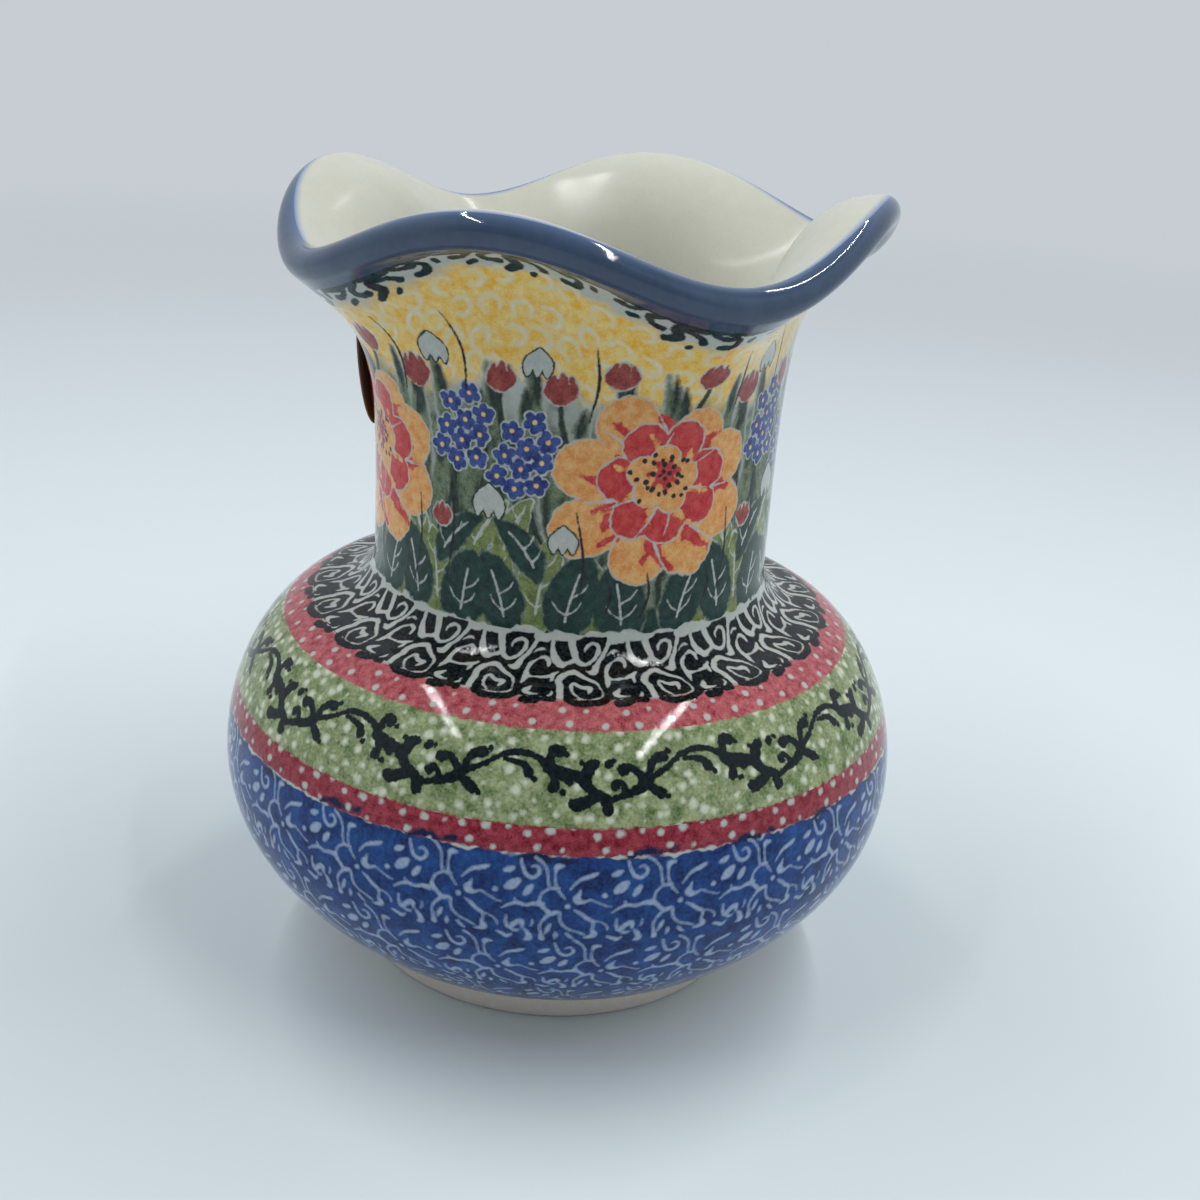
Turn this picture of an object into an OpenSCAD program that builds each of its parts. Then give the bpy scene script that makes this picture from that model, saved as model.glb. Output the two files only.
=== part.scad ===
// Stoneware vase with a round belly, a straight neck and a ruffled mouth.
// Millimetres, +Z up, origin on the table under the middle of the foot ring.
// Each coat of glaze is a thin closed solid on the clay, and the coats meet edge to edge.

/* [Foot] */
// Outer radius of the foot ring where it stands on the table
foot_r = 32; // [28:0.5:36]
// Outer radius of the foot ring where it runs into the belly
foot_top_r = 34; // [32:0.5:38]
// Height of the upright part of the foot ring
foot_h = 4.2; // [3:0.1:6]
// Width of the flat ring that stands on the table
foot_ring_w = 5; // [3:0.5:7]
// Depth of the hollow under the floor
foot_recess = 1.8; // [1:0.1:2.4]

/* [Belly] */
// Radius of the belly at its widest
belly_r = 54; // [50:0.5:60]
// Height of the widest place above the table
belly_h = 34; // [30:0.5:38]
// Thickness of the floor inside, above the hollow of the foot
floor_t = 5; // [4:0.5:7]

/* [Shoulder and neck] */
// Radius where the shoulder runs into the fillet under the neck
shoulder_r = 37.8; // [36:0.2:42]
// Height of the shoulder, from the widest place up to the fillet
shoulder_h = 25.4; // [23:0.2:28]
// Outer radius of the straight neck
neck_r = 30.8; // [27:0.2:34]
// Height of the neck with its fillet, from the shoulder up to the flare
neck_h = 17.1; // [15:0.1:20]
// Height of the straight run of the neck, just under the mouth
mouth_h = 9.5; // [6:0.1:12]

/* [Mouth] */
// Height of the lip's outer edge above the neck, on the mean
rim_h = 38.5; // [34:0.5:44]
// Mean radius of the outer edge of the lip
rim_r = 43.8; // [40:0.2:48]
// Rise of a crest, and fall of a valley, from the mean height
wave_h = 4; // [0:0.1:6]
// Unevenness of the lip's radius, from a crest to a valley
wave_r = 1.4; // [0:0.1:2]
// Mean angle of the lip above level
lip_angle = 22; // [18:1:36]
// How much steeper the lip is in a valley and flatter at a crest
lip_swing = 17; // [0:1:18]
// Length over which the neck bends into the flare
throat_bend = 25; // [14:0.5:28]
// Length over which the flare bends into the lip
lip_bend = 11.5; // [8:0.5:15]

/* [Wall and coats] */
// Thickness of the wall with its glaze
wall = 5; // [3.6:0.1:5.4]
// Thickness of each coat of glaze
glaze = 0.4; // [0.3:0.05:0.6]
// Height of the bare clay below the blue leaf ground
blue_h = 8.8; // [7:0.1:12]
// Height of the lower dotted stripe, on top of the blue leaf ground
lower_dots_h = 3.6; // [2:0.1:6]
// Height of the vine band
vine_h = 10.9; // [8:0.1:13]
// Height of the upper dotted stripe
upper_dots_h = 2.3; // [1.5:0.1:4]
// Height of the scroll band
scroll_h = 6; // [4:0.1:8]
// Height of the painted border on the neck, from the scroll band up to the flare
neck_line_h = 12; // [9:0.1:15]
// Width of the blue lip glaze below the rounded edge, down the outside
lip_band_w = 2; // [1:0.1:6]

/* [Label] */
// Width of the oval paper label
label_w = 14; // [8:0.5:18]
// Height of the oval paper label
label_h = 21; // [12:0.5:24]
// Thickness of the label
label_t = 0.25; // [0.15:0.05:0.4]
// Height of the label's lower end above the neck
label_low_h = 7.5; // [2:0.5:11]
// Direction that the label's stuck side faces
label_turn = 178; // [0:1:359]
// Radius that the label's paper is curled to, wider than the neck
label_curl_r = 55; // [40:1:80]
// Angle that the label leans out to bridge the flare
label_lean = 6.5; // [5:0.5:8]

/* [Hidden] */
$fn = 96;
// Clearance under the label, filled by its gum
label_gum = 0.05;
// How far the oval cutter stands clear of the label's paper
label_overrun = 2;
// Points round the label's oval
label_points = 48;
// Steps round the mouth
turn_steps = 72;
// Steps along each curve of the mouth, and along the fine curve that its lengths are read from
panel_steps = 7;
lip_steps = 2;
nose_steps = 6;
inside_steps = 7;
fine_steps = 24;
// Steps of the rounded edge that the blue glaze covers, counted from outside
crest_steps = 5;
// Lip, shaped by hand: crest, valley, crest and so on, counted round from +X.
// Direction of each as a share of a turn, rise as a share of wave_h, reach as a share of wave_r
lip_turn_shares = [0, 0.118, 0.255, 0.376, 0.478, 0.612, 0.752, 0.877];
lip_rise_shares = [1.34, -0.9, 0.88, -0.98, 0.72, -1.24, 1.02, -0.86];
lip_reach_shares = [-1, 1, 0, -0.8, 0.1, 0.1, -0.3, 0.6];
// Steps along each curve of the round profile: points of the solids, and points that heights
// are read from
curve_steps = 12;
profile_steps = 40;
// Share of a step below which a point next to the edge of a coat is left out
sliver_share = 0.2;
// Handles of the profile's curves, as shares of the step in radius or height that each one spans
foot_handle_shares = [0.51, 0.26];
belly_low_handle_share = 0.45;
belly_high_handle_share = 0.49;
shoulder_handle_shares = [0.54, 0.034];
fillet_handle_share = 0.69;
fillet_rise_share = 0.52;

function bezier(p, t) =
    pow(1 - t, 3) * p[0] + 3 * pow(1 - t, 2) * t * p[1]
    + 3 * (1 - t) * t * t * p[2] + pow(t, 3) * p[3];
function heading(p, t) =
    pow(1 - t, 2) * (p[1] - p[0]) + 2 * (1 - t) * t * (p[2] - p[1]) + t * t * (p[3] - p[2]);
function outward(v) = [v.y, -v.x] / norm(v);
function reversed(list) = [for (i = [len(list) - 1:-1:0]) list[i]];

// Levels above the table
belly_level = belly_h;
shoulder_level = belly_level + shoulder_h;
neck_level = shoulder_level + neck_h - mouth_h;
mouth_level = shoulder_level + neck_h;
rim_level = mouth_level + rim_h;
neck_line_level = mouth_level - neck_line_h;
scroll_level = neck_line_level - scroll_h;
upper_dots_level = scroll_level - upper_dots_h;
vine_level = upper_dots_level - vine_h;
lower_dots_level = vine_level - lower_dots_h;

// Outer profile of the round part, in four curves from the foot ring to the top of the neck
belly_rise = belly_level - foot_h;
fillet_run = shoulder_r - neck_r;
fillet_rise = neck_level - shoulder_level;
lower_curve = [[foot_top_r, foot_h],
               [foot_top_r + foot_handle_shares[0] * (belly_r - foot_top_r),
                foot_h + foot_handle_shares[1] * belly_rise],
               [belly_r, belly_level - belly_low_handle_share * belly_rise],
               [belly_r, belly_level]];
upper_curve = [[belly_r, belly_level],
               [belly_r, belly_level + belly_high_handle_share * shoulder_h],
               [shoulder_r + shoulder_handle_shares[0] * (belly_r - shoulder_r),
                shoulder_level - shoulder_handle_shares[1] * shoulder_h],
               [shoulder_r, shoulder_level]];
fillet_curve = [[shoulder_r, shoulder_level],
                [shoulder_r - fillet_handle_share * fillet_run,
                 shoulder_level + (shoulder_handle_shares[1] * shoulder_h)
                 * fillet_handle_share * fillet_run
                 / (shoulder_handle_shares[0] * (belly_r - shoulder_r))],
                [neck_r, neck_level - fillet_rise_share * fillet_rise],
                [neck_r, neck_level]];
neck_curve = [for (i = [0:3]) [neck_r, neck_level + (mouth_level - neck_level) * i / 3]];
profile_curves = [lower_curve, upper_curve, fillet_curve, neck_curve];

// A curve that runs a given depth under one of these, with handles as long in proportion
function deeper(p, depth) =
    let (start = p[0] - depth * outward(heading(p, 0)),
         end = p[3] - depth * outward(heading(p, 1)),
         ratio = norm(end - start) / norm(p[3] - p[0]))
    [start, start + ratio * (p[1] - p[0]), end - ratio * (p[3] - p[2]), end];

// Place along the profile for a level, counted in curves; levels rise all the way along it
profile_levels = [for (c = [0:len(profile_curves) - 1]) for (i = [0:profile_steps])
    [bezier(profile_curves[c], i / profile_steps).y, c + i / profile_steps]];
function place_at(level) = lookup(level, profile_levels);
belly_place = place_at(belly_level);
shoulder_place = place_at(shoulder_level);
top_place = place_at(mouth_level);
function curve_at(s) = min(floor(s), len(profile_curves) - 1);
// Point of the outer surface, or of a coat's underside, at a place along the profile
function outside(s, depth) =
    let (p = profile_curves[curve_at(s)], t = s - curve_at(s))
    bezier(p, t) - depth * outward(heading(p, t));
// Point of the inner surface, or of what lies a given depth under the outer one
function inside(s, depth) =
    bezier(deeper(profile_curves[curve_at(s)], depth), s - curve_at(s));
// Places from s0 to s1: both ends, and every whole step between them
function places(s0, s1) =
    concat([s0],
           [for (k = [0:curve_steps * top_place])
               if (k > curve_steps * s0 + sliver_share && k < curve_steps * s1 - sliver_share)
                   k / curve_steps],
           [s1]);
function outer_run(s0, s1, depth) = [for (s = places(s0, s1)) outside(s, depth)];
function inner_run(s0, s1, depth) = [for (s = places(s0, s1)) inside(s, depth)];

// Edges of the coats along the profile, from the blue ground up to the top of the neck
blue_place = place_at(blue_h);
lower_dots_place = place_at(lower_dots_level);
vine_place = place_at(vine_level);
upper_dots_place = place_at(upper_dots_level);
scroll_place = place_at(scroll_level);
neck_line_place = place_at(neck_line_level);
coat_places = [blue_place, lower_dots_place, vine_place, upper_dots_place, scroll_place,
               neck_line_place, top_place];
// The clay's outer side between two places, with a point under each edge of a coat
function clay_outside(s0, s1) =
    let (ends = concat([s0], [for (s = coat_places) if (s > s0 && s < s1) s], [s1]))
    concat([for (k = [0:len(ends) - 2]) for (s = places(ends[k], ends[k + 1]))
               if (s < ends[k + 1]) outside(s, glaze)],
           [outside(s1, glaze)]);

// The floor inside is slightly dished
floor_level = foot_recess + floor_t;

module coat(s0, s1) {
    rotate_extrude()
        polygon(concat(outer_run(s0, s1, 0), reversed(outer_run(s0, s1, glaze))));
}

module clay_ring(s0, s1) {
    rotate_extrude()
        polygon(concat(clay_outside(s0, s1), reversed(inner_run(s0, s1, wall - glaze))));
}

module clay_bowl() {
    color("tan")
        rotate_extrude()
            polygon(concat(
                [[0, foot_recess], [foot_top_r - foot_ring_w, foot_recess],
                 [foot_r - foot_ring_w, 0], [foot_r, 0]],
                clay_outside(0, belly_place),
                reversed(inner_run(0, belly_place, wall - glaze)),
                [[0, floor_level - glaze]]));
}

module clay_shoulder() {
    color("tan") clay_ring(belly_place, shoulder_place);
}

module clay_neck() {
    color("tan") clay_ring(shoulder_place, top_place);
}

module blue_ground() {
    color("royalblue") coat(blue_place, lower_dots_place);
}

module lower_dot_band() {
    color("indianred") coat(lower_dots_place, vine_place);
}

module vine_band() {
    color("darkseagreen") coat(vine_place, upper_dots_place);
}

module upper_dot_band() {
    color("indianred") coat(upper_dots_place, scroll_place);
}

module scroll_band() {
    color("slategray") coat(scroll_place, neck_line_place);
}

module neck_panel() {
    color("darkkhaki") coat(neck_line_place, top_place);
}

module liner_body() {
    color("ivory")
        rotate_extrude()
            polygon(concat(
                [[0, floor_level - glaze]],
                inner_run(0, top_place, wall - glaze),
                reversed(inner_run(0, top_place, wall)),
                [[0, floor_level]]));
}

// Mouth: one curve for each direction round the vase, from the neck out to the lip
// Crest or valley that comes before a direction, and the smooth run from it to the one after
function lip_before(turn) =
    max([for (i = [0:len(lip_turn_shares) - 1]) if (lip_turn_shares[i] <= turn) i]);
function round_lip(a, values) =
    let (turn = a / 360, i = lip_before(turn), j = (i + 1) % len(values),
         after = j == 0 ? lip_turn_shares[0] + 1 : lip_turn_shares[j],
         t = (turn - lip_turn_shares[i]) / (after - lip_turn_shares[i]))
    values[i] + (values[j] - values[i]) * (1 - cos(180 * t)) / 2;
lip_sides = [for (rise = lip_rise_shares) sign(rise)];
function lip_point(a) = [rim_r + wave_r * round_lip(a, lip_reach_shares),
                         rim_level + wave_h * round_lip(a, lip_rise_shares)];
function lip_heading(a) =
    let (tilt = lip_angle - lip_swing * round_lip(a, lip_sides)) [cos(tilt), sin(tilt)];
function mouth_curve(a) = [[neck_r, mouth_level], [neck_r, mouth_level + throat_bend],
                           lip_point(a) - lip_bend * lip_heading(a), lip_point(a)];
// Share of the curve at which the blue lip glaze begins, read from lengths back from the edge
function lengths_back(p, i = fine_steps, len_so_far = 0) =
    i == 0 ? [[len_so_far, 0]]
    : concat([[len_so_far, i / fine_steps]],
             lengths_back(p, i - 1, len_so_far
                          + norm(bezier(p, i / fine_steps) - bezier(p, (i - 1) / fine_steps))));
function lip_share(a) = lookup(lip_band_w, lengths_back(mouth_curve(a)));
function mouth_under(p, t, depth) = bezier(p, t) - depth * outward(heading(p, t));
// The rounded edge is a half circle across the wall
function nose(p, i, depth) =
    let (ahead = heading(p, 1) / norm(heading(p, 1)), out = outward(heading(p, 1)),
         turn = 180 * i / nose_steps)
    bezier(p, 1) - wall / 2 * out
    + (wall / 2 - depth) * (cos(turn) * out + sin(turn) * ahead);
// Section of the mouth at a depth under its surface, from the outer seam round to the inner one
function section(a, depth) =
    let (p = mouth_curve(a), edge = lip_share(a))
    concat([for (i = [0:panel_steps]) mouth_under(p, edge * i / panel_steps, depth)],
           [for (i = [1:lip_steps]) mouth_under(p, edge + (1 - edge) * i / lip_steps, depth)],
           [for (i = [1:nose_steps]) nose(p, i, depth)],
           [for (i = [1:inside_steps]) mouth_under(p, 1 - i / inside_steps, wall - depth)]);
band_point = panel_steps;
crest_point = panel_steps + lip_steps + crest_steps;
last_point = panel_steps + lip_steps + nose_steps + inside_steps;
function turned(a, p) = [p.x * cos(a), p.x * sin(a), p.y];
function grid(depth, first, last) =
    [for (k = [0:turn_steps - 1])
        let (a = 360 * k / turn_steps, s = section(a, depth))
        for (i = [first:last]) turned(a, s[i])];

// Faces between neighbouring directions, for a strip whose points start at base and base_next
function quad(a, b, c, d) = [[a, c, d], [a, b, c]];
function next(k) = (k + 1) % turn_steps;
function strip(base, count, out) =
    [for (k = [0:turn_steps - 1]) for (i = [0:count - 2])
        let (a = base + k * count + i, d = base + next(k) * count + i,
             q = quad(a, a + 1, d + 1, d))
        for (f = q) out ? f : reversed(f)];
// Ring of faces that closes an edge between two grids
function closing(base_a, i_a, base_b, i_b, count, out) =
    [for (k = [0:turn_steps - 1])
        let (a = base_a + k * count + i_a, b = base_b + k * count + i_b,
             c = base_b + next(k) * count + i_b, d = base_a + next(k) * count + i_a)
        for (f = quad(a, b, c, d)) out ? f : reversed(f)];

module mouth_coat(first, last) {
    count = last - first + 1;
    under_base = count * turn_steps;
    polyhedron(
        points = concat(grid(0, first, last), grid(glaze, first, last)),
        faces = concat(strip(0, count, true), strip(under_base, count, false),
                       closing(0, 0, under_base, 0, count, false),
                       closing(0, count - 1, under_base, count - 1, count, true)));
}

module clay_mouth() {
    count = last_point + 1;
    color("tan")
        polyhedron(
            points = grid(glaze, 0, last_point),
            faces = concat(strip(0, count, true),
                           closing(0, 0, 0, last_point, count, false)));
}

module mouth_panel() {
    color("khaki") mouth_coat(0, band_point);
}

module lip_band() {
    color("midnightblue") mouth_coat(band_point, crest_point);
}

module liner_mouth() {
    color("ivory") mouth_coat(crest_point, last_point);
}

module label_oval() {
    polygon([for (i = [0:label_points - 1])
        let (a = 360 * i / label_points)
        [label_w / 2 * (1 + cos(a)), label_h / 2 * (1 + sin(a))]]);
}

module paper_label() {
    color("saddlebrown")
        rotate([0, 0, label_turn])
            translate([neck_r + label_gum, 0, mouth_level + label_low_h])
                rotate([0, label_lean, 0])
                    intersection() {
                        translate([-label_curl_r, 0, 0])
                            difference() {
                                cylinder(r = label_curl_r + label_t, h = label_h);
                                translate([0, 0, -label_overrun])
                                    cylinder(r = label_curl_r, h = label_h + 2 * label_overrun);
                            }
                        translate([-label_w / 2, 0, 0])
                            rotate([90, 0, 90])
                                linear_extrude(label_w) label_oval();
                    }
}

clay_bowl();
clay_shoulder();
clay_neck();
clay_mouth();
blue_ground();
lower_dot_band();
vine_band();
upper_dot_band();
scroll_band();
neck_panel();
mouth_panel();
lip_band();
liner_body();
liner_mouth();
paper_label();
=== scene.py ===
import math

import bpy
import numpy as np
from mathutils import Matrix


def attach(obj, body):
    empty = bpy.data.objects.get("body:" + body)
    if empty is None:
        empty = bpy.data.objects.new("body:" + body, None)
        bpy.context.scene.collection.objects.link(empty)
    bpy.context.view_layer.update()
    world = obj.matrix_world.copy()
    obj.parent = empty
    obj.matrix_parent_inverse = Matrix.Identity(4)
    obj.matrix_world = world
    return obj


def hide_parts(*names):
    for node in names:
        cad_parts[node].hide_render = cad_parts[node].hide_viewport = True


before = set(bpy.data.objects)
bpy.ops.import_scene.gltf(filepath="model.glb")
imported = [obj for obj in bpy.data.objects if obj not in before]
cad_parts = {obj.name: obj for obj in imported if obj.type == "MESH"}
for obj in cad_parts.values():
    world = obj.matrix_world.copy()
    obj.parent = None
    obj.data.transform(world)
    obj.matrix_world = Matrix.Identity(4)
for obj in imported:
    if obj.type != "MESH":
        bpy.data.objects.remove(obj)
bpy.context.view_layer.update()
millimetre = 0.001

print("vase: shape")

# what a user would change in the thrown shape
body = {
    "footRadius": 32.0, "footTopRadius": 34.0, "footHeight": 4.2, "footRingWidth": 5.0,
    "footRecess": 1.8, "floorHeight": 6.8,
    "bellyRadius": 54.0, "bellyHeight": 34.0, "shoulderRadius": 37.8, "shoulderHeight": 59.4,
    "neckRadius": 30.8, "neckHeight": 67.0, "mouthHeight": 76.5,
    "wall": 5.0, "glaze": 0.4,
}
glaze, wall = body["glaze"], body["wall"]

# how far the handles of its curves reach, as shares of each curve's width or height
bends = {"footOut": 0.51, "footUp": 0.26, "bellyDown": 0.45, "bellyUp": 0.49,
         "shoulderOut": 0.54, "shoulderDown": 0.034, "filletIn": 0.69, "filletDown": 0.52}

# heights at which one band of colour gives way to the next
bandEdges = {"blue": 8.8, "lowerDots": 41.7, "vine": 45.3, "upperDots": 56.2, "scroll": 58.5,
             "border": 64.5}

# the ruffled lip: stations round it as shares of a turn, crests and valleys by turns, with each
# one's share of rise and reach; its tilt and swing in degrees, the length of each bend's handle,
# and how many degrees over the lip the outer glaze, the clay and the inside's underside go
mouth = {
    "rimHeight": 115.0, "rimRadius": 43.8, "rise": 4.0, "reach": 1.4,
    "lipAngle": 22.0, "lipSwing": 17.0, "throatBend": 25.0, "lipBend": 11.5,
    "stations": [0, 0.118, 0.255, 0.376, 0.478, 0.612, 0.752, 0.877],
    "rises": [1.34, -0.9, 0.88, -0.98, 0.72, -1.24, 1.02, -0.86],
    "reaches": [-1, 1, 0, -0.8, 0.1, 0.1, -0.3, 0.6],
    "lipBand": 2.0, "crestTurn": 150.0, "clayTurns": (12, 168), "linerTurn": 172,
}

columns = 1080  # steps round each painted coat, the same for all so that their edges meet
coarseColumns = 360  # steps round the clay and the inside


def curveAt(handles, t):
    # (1-t)^3 p0 + 3 (1-t)^2 t p1 + 3 (1-t) t^2 p2 + t^3 p3
    t = np.asarray(t, float)[..., None]
    a, b, c, d = handles
    return (1 - t) ** 3 * a + 3 * (1 - t) ** 2 * t * b + 3 * (1 - t) * t * t * c + t ** 3 * d


def heading(handles, t):
    # (1-t)^2 (p1 - p0) + 2 (1-t) t (p2 - p1) + t^2 (p3 - p2), the slope of that curve
    t = np.asarray(t, float)[..., None]
    a, b, c, d = handles
    return (1 - t) ** 2 * (b - a) + 2 * (1 - t) * t * (c - b) + t * t * (d - c)


def outward(slope):
    # (slope y, -slope x) at length 1, which points out of the clay
    side = np.stack([slope[..., 1], -slope[..., 0]], -1)
    return side / np.linalg.norm(side, axis=-1, keepdims=True)


def sunk(handles, t, depth):
    # curveAt(t) - depth * outward
    return curveAt(handles, t) - depth * outward(heading(handles, t))


def roundCurves():
    # belly, shoulder, fillet and neck: each a start, two handles and an end, where a handle is its
    # end moved by a bend's share of the curve's width and height
    foot, belly = body["footTopRadius"], body["bellyRadius"]
    shoulder, neck = body["shoulderRadius"], body["neckRadius"]
    z0, z1, z2 = body["footHeight"], body["bellyHeight"], body["shoulderHeight"]
    z3, z4 = body["neckHeight"], body["mouthHeight"]
    out, down = bends["shoulderOut"] * (belly - shoulder), bends["shoulderDown"] * (z2 - z1)
    back = bends["filletIn"] * (shoulder - neck)
    return np.array([
        [(foot, z0), (foot + bends["footOut"] * (belly - foot), z0 + bends["footUp"] * (z1 - z0)),
         (belly, z1 - bends["bellyDown"] * (z1 - z0)), (belly, z1)],
        [(belly, z1), (belly, z1 + bends["bellyUp"] * (z2 - z1)), (shoulder + out, z2 - down),
         (shoulder, z2)],
        [(shoulder, z2), (shoulder - back, z2 + down / out * back),
         (neck, z3 - bends["filletDown"] * (z3 - z2)), (neck, z3)],
        [(neck, z3 + (z4 - z3) * third / 3) for third in range(4)]])


profile = roundCurves()


def outside(places, depth=0.0):
    # curveAt(place) - depth * outward, curve by curve; places run from 0 at the foot to 4
    points = np.zeros(np.shape(places) + (2,))
    for number, handles in enumerate(profile):
        here = (places >= number) & ((places <= number + 1) | (number == 3))
        points[here] = sunk(handles, places[here] - number, depth)
    return points


def inside(places, depth):
    # the same curves moved in by depth at their ends, with handles as long in proportion
    points = np.zeros(np.shape(places) + (2,))
    for number, handles in enumerate(profile):
        start, end = sunk(handles, 0.0, depth), sunk(handles, 1.0, depth)
        ratio = np.linalg.norm(end - start) / np.linalg.norm(handles[3] - handles[0])
        inner = [start, start + ratio * (handles[1] - handles[0]),
                 end - ratio * (handles[3] - handles[2]), end]
        here = (places >= number) & ((places <= number + 1) | (number == 3))
        points[here] = curveAt(inner, places[here] - number)
    return points


placeSteps = np.linspace(0, 4, 4001)
profilePoints = outside(placeSteps)
profileLengths = np.concatenate(
    [[0], np.cumsum(np.linalg.norm(np.diff(profilePoints, axis=0), axis=1))])


def lengthAtHeight(height):
    # sum of the steps' lengths from the foot up to a height
    return float(np.interp(height, profilePoints[:, 1], profileLengths))


def placesBetween(lowHeight, highHeight, rows):
    # places with even steps of length between two heights, and those lengths from the lower one
    lengths = np.linspace(lengthAtHeight(lowHeight), lengthAtHeight(highHeight), rows)
    return np.interp(lengths, profileLengths, placeSteps), lengths - lengths[0]


def lipBlend(angles, values):
    # v0 + (v1 - v0) (1 - cos 180 t) / 2 between the stations on either side of each angle
    turn = (angles / (2 * np.pi)) % 1
    stations = np.array(mouth["stations"] + [1 + mouth["stations"][0]])
    table = np.array(list(values) + [values[0]], float)
    before = np.searchsorted(stations, turn, side="right") - 1
    t = (turn - stations[before]) / (stations[before + 1] - stations[before])
    return table[before] + (table[before + 1] - table[before]) * (1 - np.cos(np.pi * t)) / 2


def mouthHandles(angles):
    # start, start + bend up, edge - bend (cos tilt, sin tilt) and edge, one curve for each angle
    start = np.array([body["neckRadius"], body["mouthHeight"]])
    tilt = np.radians(mouth["lipAngle"]
                      - mouth["lipSwing"] * lipBlend(angles, np.sign(mouth["rises"])))
    ahead = np.stack([np.cos(tilt), np.sin(tilt)], -1)
    edge = np.stack([mouth["rimRadius"] + mouth["reach"] * lipBlend(angles, mouth["reaches"]),
                     mouth["rimHeight"] + mouth["rise"] * lipBlend(angles, mouth["rises"])], -1)
    first = np.broadcast_to(start, edge.shape)
    second = np.broadcast_to(start + [0, mouth["throatBend"]], edge.shape)
    return [h[:, None, :] for h in (first, second, edge - mouth["lipBend"] * ahead, edge)]


def mouthLengths(handles, steps=200):
    # running sum of |curveAt(t + step) - curveAt(t)| along each angle's curve, at even steps of t
    t = np.broadcast_to(np.linspace(0, 1, steps + 1), (len(handles[3]), steps + 1))
    parts = np.linalg.norm(np.diff(curveAt(handles, t), axis=1), axis=2)
    return t, np.concatenate([np.zeros((len(parts), 1)), np.cumsum(parts, axis=1)], axis=1)


def shareAtLength(handles, target):
    # t at which each angle's curve is target long; the rows are set 1000 apart for one lookup
    t, lengths = mouthLengths(handles)
    shift = 1000.0 * np.arange(len(lengths))[:, None]
    found = np.interp((target + shift).ravel(), (lengths + shift).ravel(), t.ravel())
    return found.reshape(target.shape)


def nose(handles, turns, depth):
    # half circle across the wall at the lip: centre + (wall/2 - depth)(cos turn out + sin turn on)
    ends = np.ones((len(handles[3]), 1))
    slope = heading(handles, ends)
    ahead = slope / np.linalg.norm(slope, axis=-1, keepdims=True)
    out = outward(slope)
    centre = curveAt(handles, ends) - body["wall"] / 2 * out
    a = np.radians(turns)[None, :, None]
    return centre + (body["wall"] / 2 - depth) * (np.cos(a) * out + np.sin(a) * ahead)


def turned(angles, points):
    # (r, z) carried round: (r cos a, r sin a, z); points has a row for each angle or is shared
    points = np.broadcast_to(points, (len(angles),) + points.shape[-2:])
    a = angles[:, None]
    return np.stack([points[..., 0] * np.cos(a), points[..., 0] * np.sin(a), points[..., 1]], -1)


def roundAngles(count):
    # 2 pi i / count
    return np.arange(count) * 2 * np.pi / count


def joined(count, *parts):
    # parts set end to end along their rows, for count angles; one may be the same for all
    return np.concatenate([np.broadcast_to(part, (count,) + part.shape[-2:]) for part in parts],
                          axis=1)


def meshFromGrid(name, grid, poles=False, sharpRows=(), fields=None):
    # corners (i, j), (i+1, j), (i+1, j+1), (i, j+1) of a grid closed round the axis; its rows
    # close on themselves too, or end in one point on the axis at each end
    around, rows = grid.shape[:2]
    index = np.arange(around * rows).reshape(around, rows)
    if poles:
        index[:, 0] = index[0, 0]
        index[:, -1] = index[0, -1]
    right = np.roll(index, -1, axis=0)
    if poles:
        quads = np.stack([index[:, 1:-2], right[:, 1:-2], right[:, 2:-1], index[:, 2:-1]], -1)
        low = np.stack([index[:, 0], right[:, 1], index[:, 1]], -1)
        high = np.stack([index[:, -2], right[:, -2], index[:, -1]], -1)
        faces = [quads.reshape(-1, 4), low, high]
    else:
        above, aboveRight = np.roll(index, -1, axis=1), np.roll(right, -1, axis=1)
        faces = [np.stack([index, right, aboveRight, above], -1).reshape(-1, 4)]
    used, corners = np.unique(np.concatenate([f.ravel() for f in faces]), return_inverse=True)
    sizes = np.concatenate([np.full(len(f), f.shape[1]) for f in faces])
    mesh = bpy.data.meshes.new(name)
    mesh.vertices.add(len(used))
    mesh.vertices.foreach_set("co", (grid.reshape(-1, 3)[used] * millimetre).ravel())
    mesh.loops.add(len(corners))
    mesh.loops.foreach_set("vertex_index", corners.ravel().astype(np.int32))
    mesh.polygons.add(len(sizes))
    mesh.polygons.foreach_set("loop_start", (np.cumsum(sizes) - sizes).astype(np.int32))
    mesh.polygons.foreach_set("use_smooth", np.ones(len(sizes), bool))
    mesh.update(calc_edges=True)
    if len(sharpRows):
        ends = np.zeros(len(mesh.edges) * 2, np.int32)
        mesh.edges.foreach_get("vertices", ends)
        rowOfEnds = (used[ends] % rows).reshape(-1, 2)
        sharp = (rowOfEnds[:, 0] == rowOfEnds[:, 1]) & np.isin(rowOfEnds[:, 0], sharpRows)
        mesh.attributes.new("sharp_edge", "BOOLEAN", "EDGE").data.foreach_set("value", sharp)
    for key, values in (fields or {}).items():
        padded = np.zeros((around, rows), np.float32)
        padded[:, :values.shape[1]] = values
        mesh.attributes.new(key, "FLOAT", "POINT").data.foreach_set(
            "value", padded.ravel()[used])
    return mesh


def addPiece(name, mesh, material, nodes):
    # a mesh as a piece on the one body, in place of the CAD nodes that it stands for
    piece = bpy.data.objects.new(name, mesh)
    bpy.context.scene.collection.objects.link(piece)
    mesh.materials.append(material)
    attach(piece, "root")
    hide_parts(*nodes)


def coatMesh(name, outer, inner, fields):
    # the coat's outer face going up and its underside going back down, closed at both edges
    rows = outer.shape[1]
    return meshFromGrid(name, np.concatenate([outer, inner[:, ::-1]], axis=1),
                        sharpRows=(0, rows - 1), fields=fields)


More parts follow.
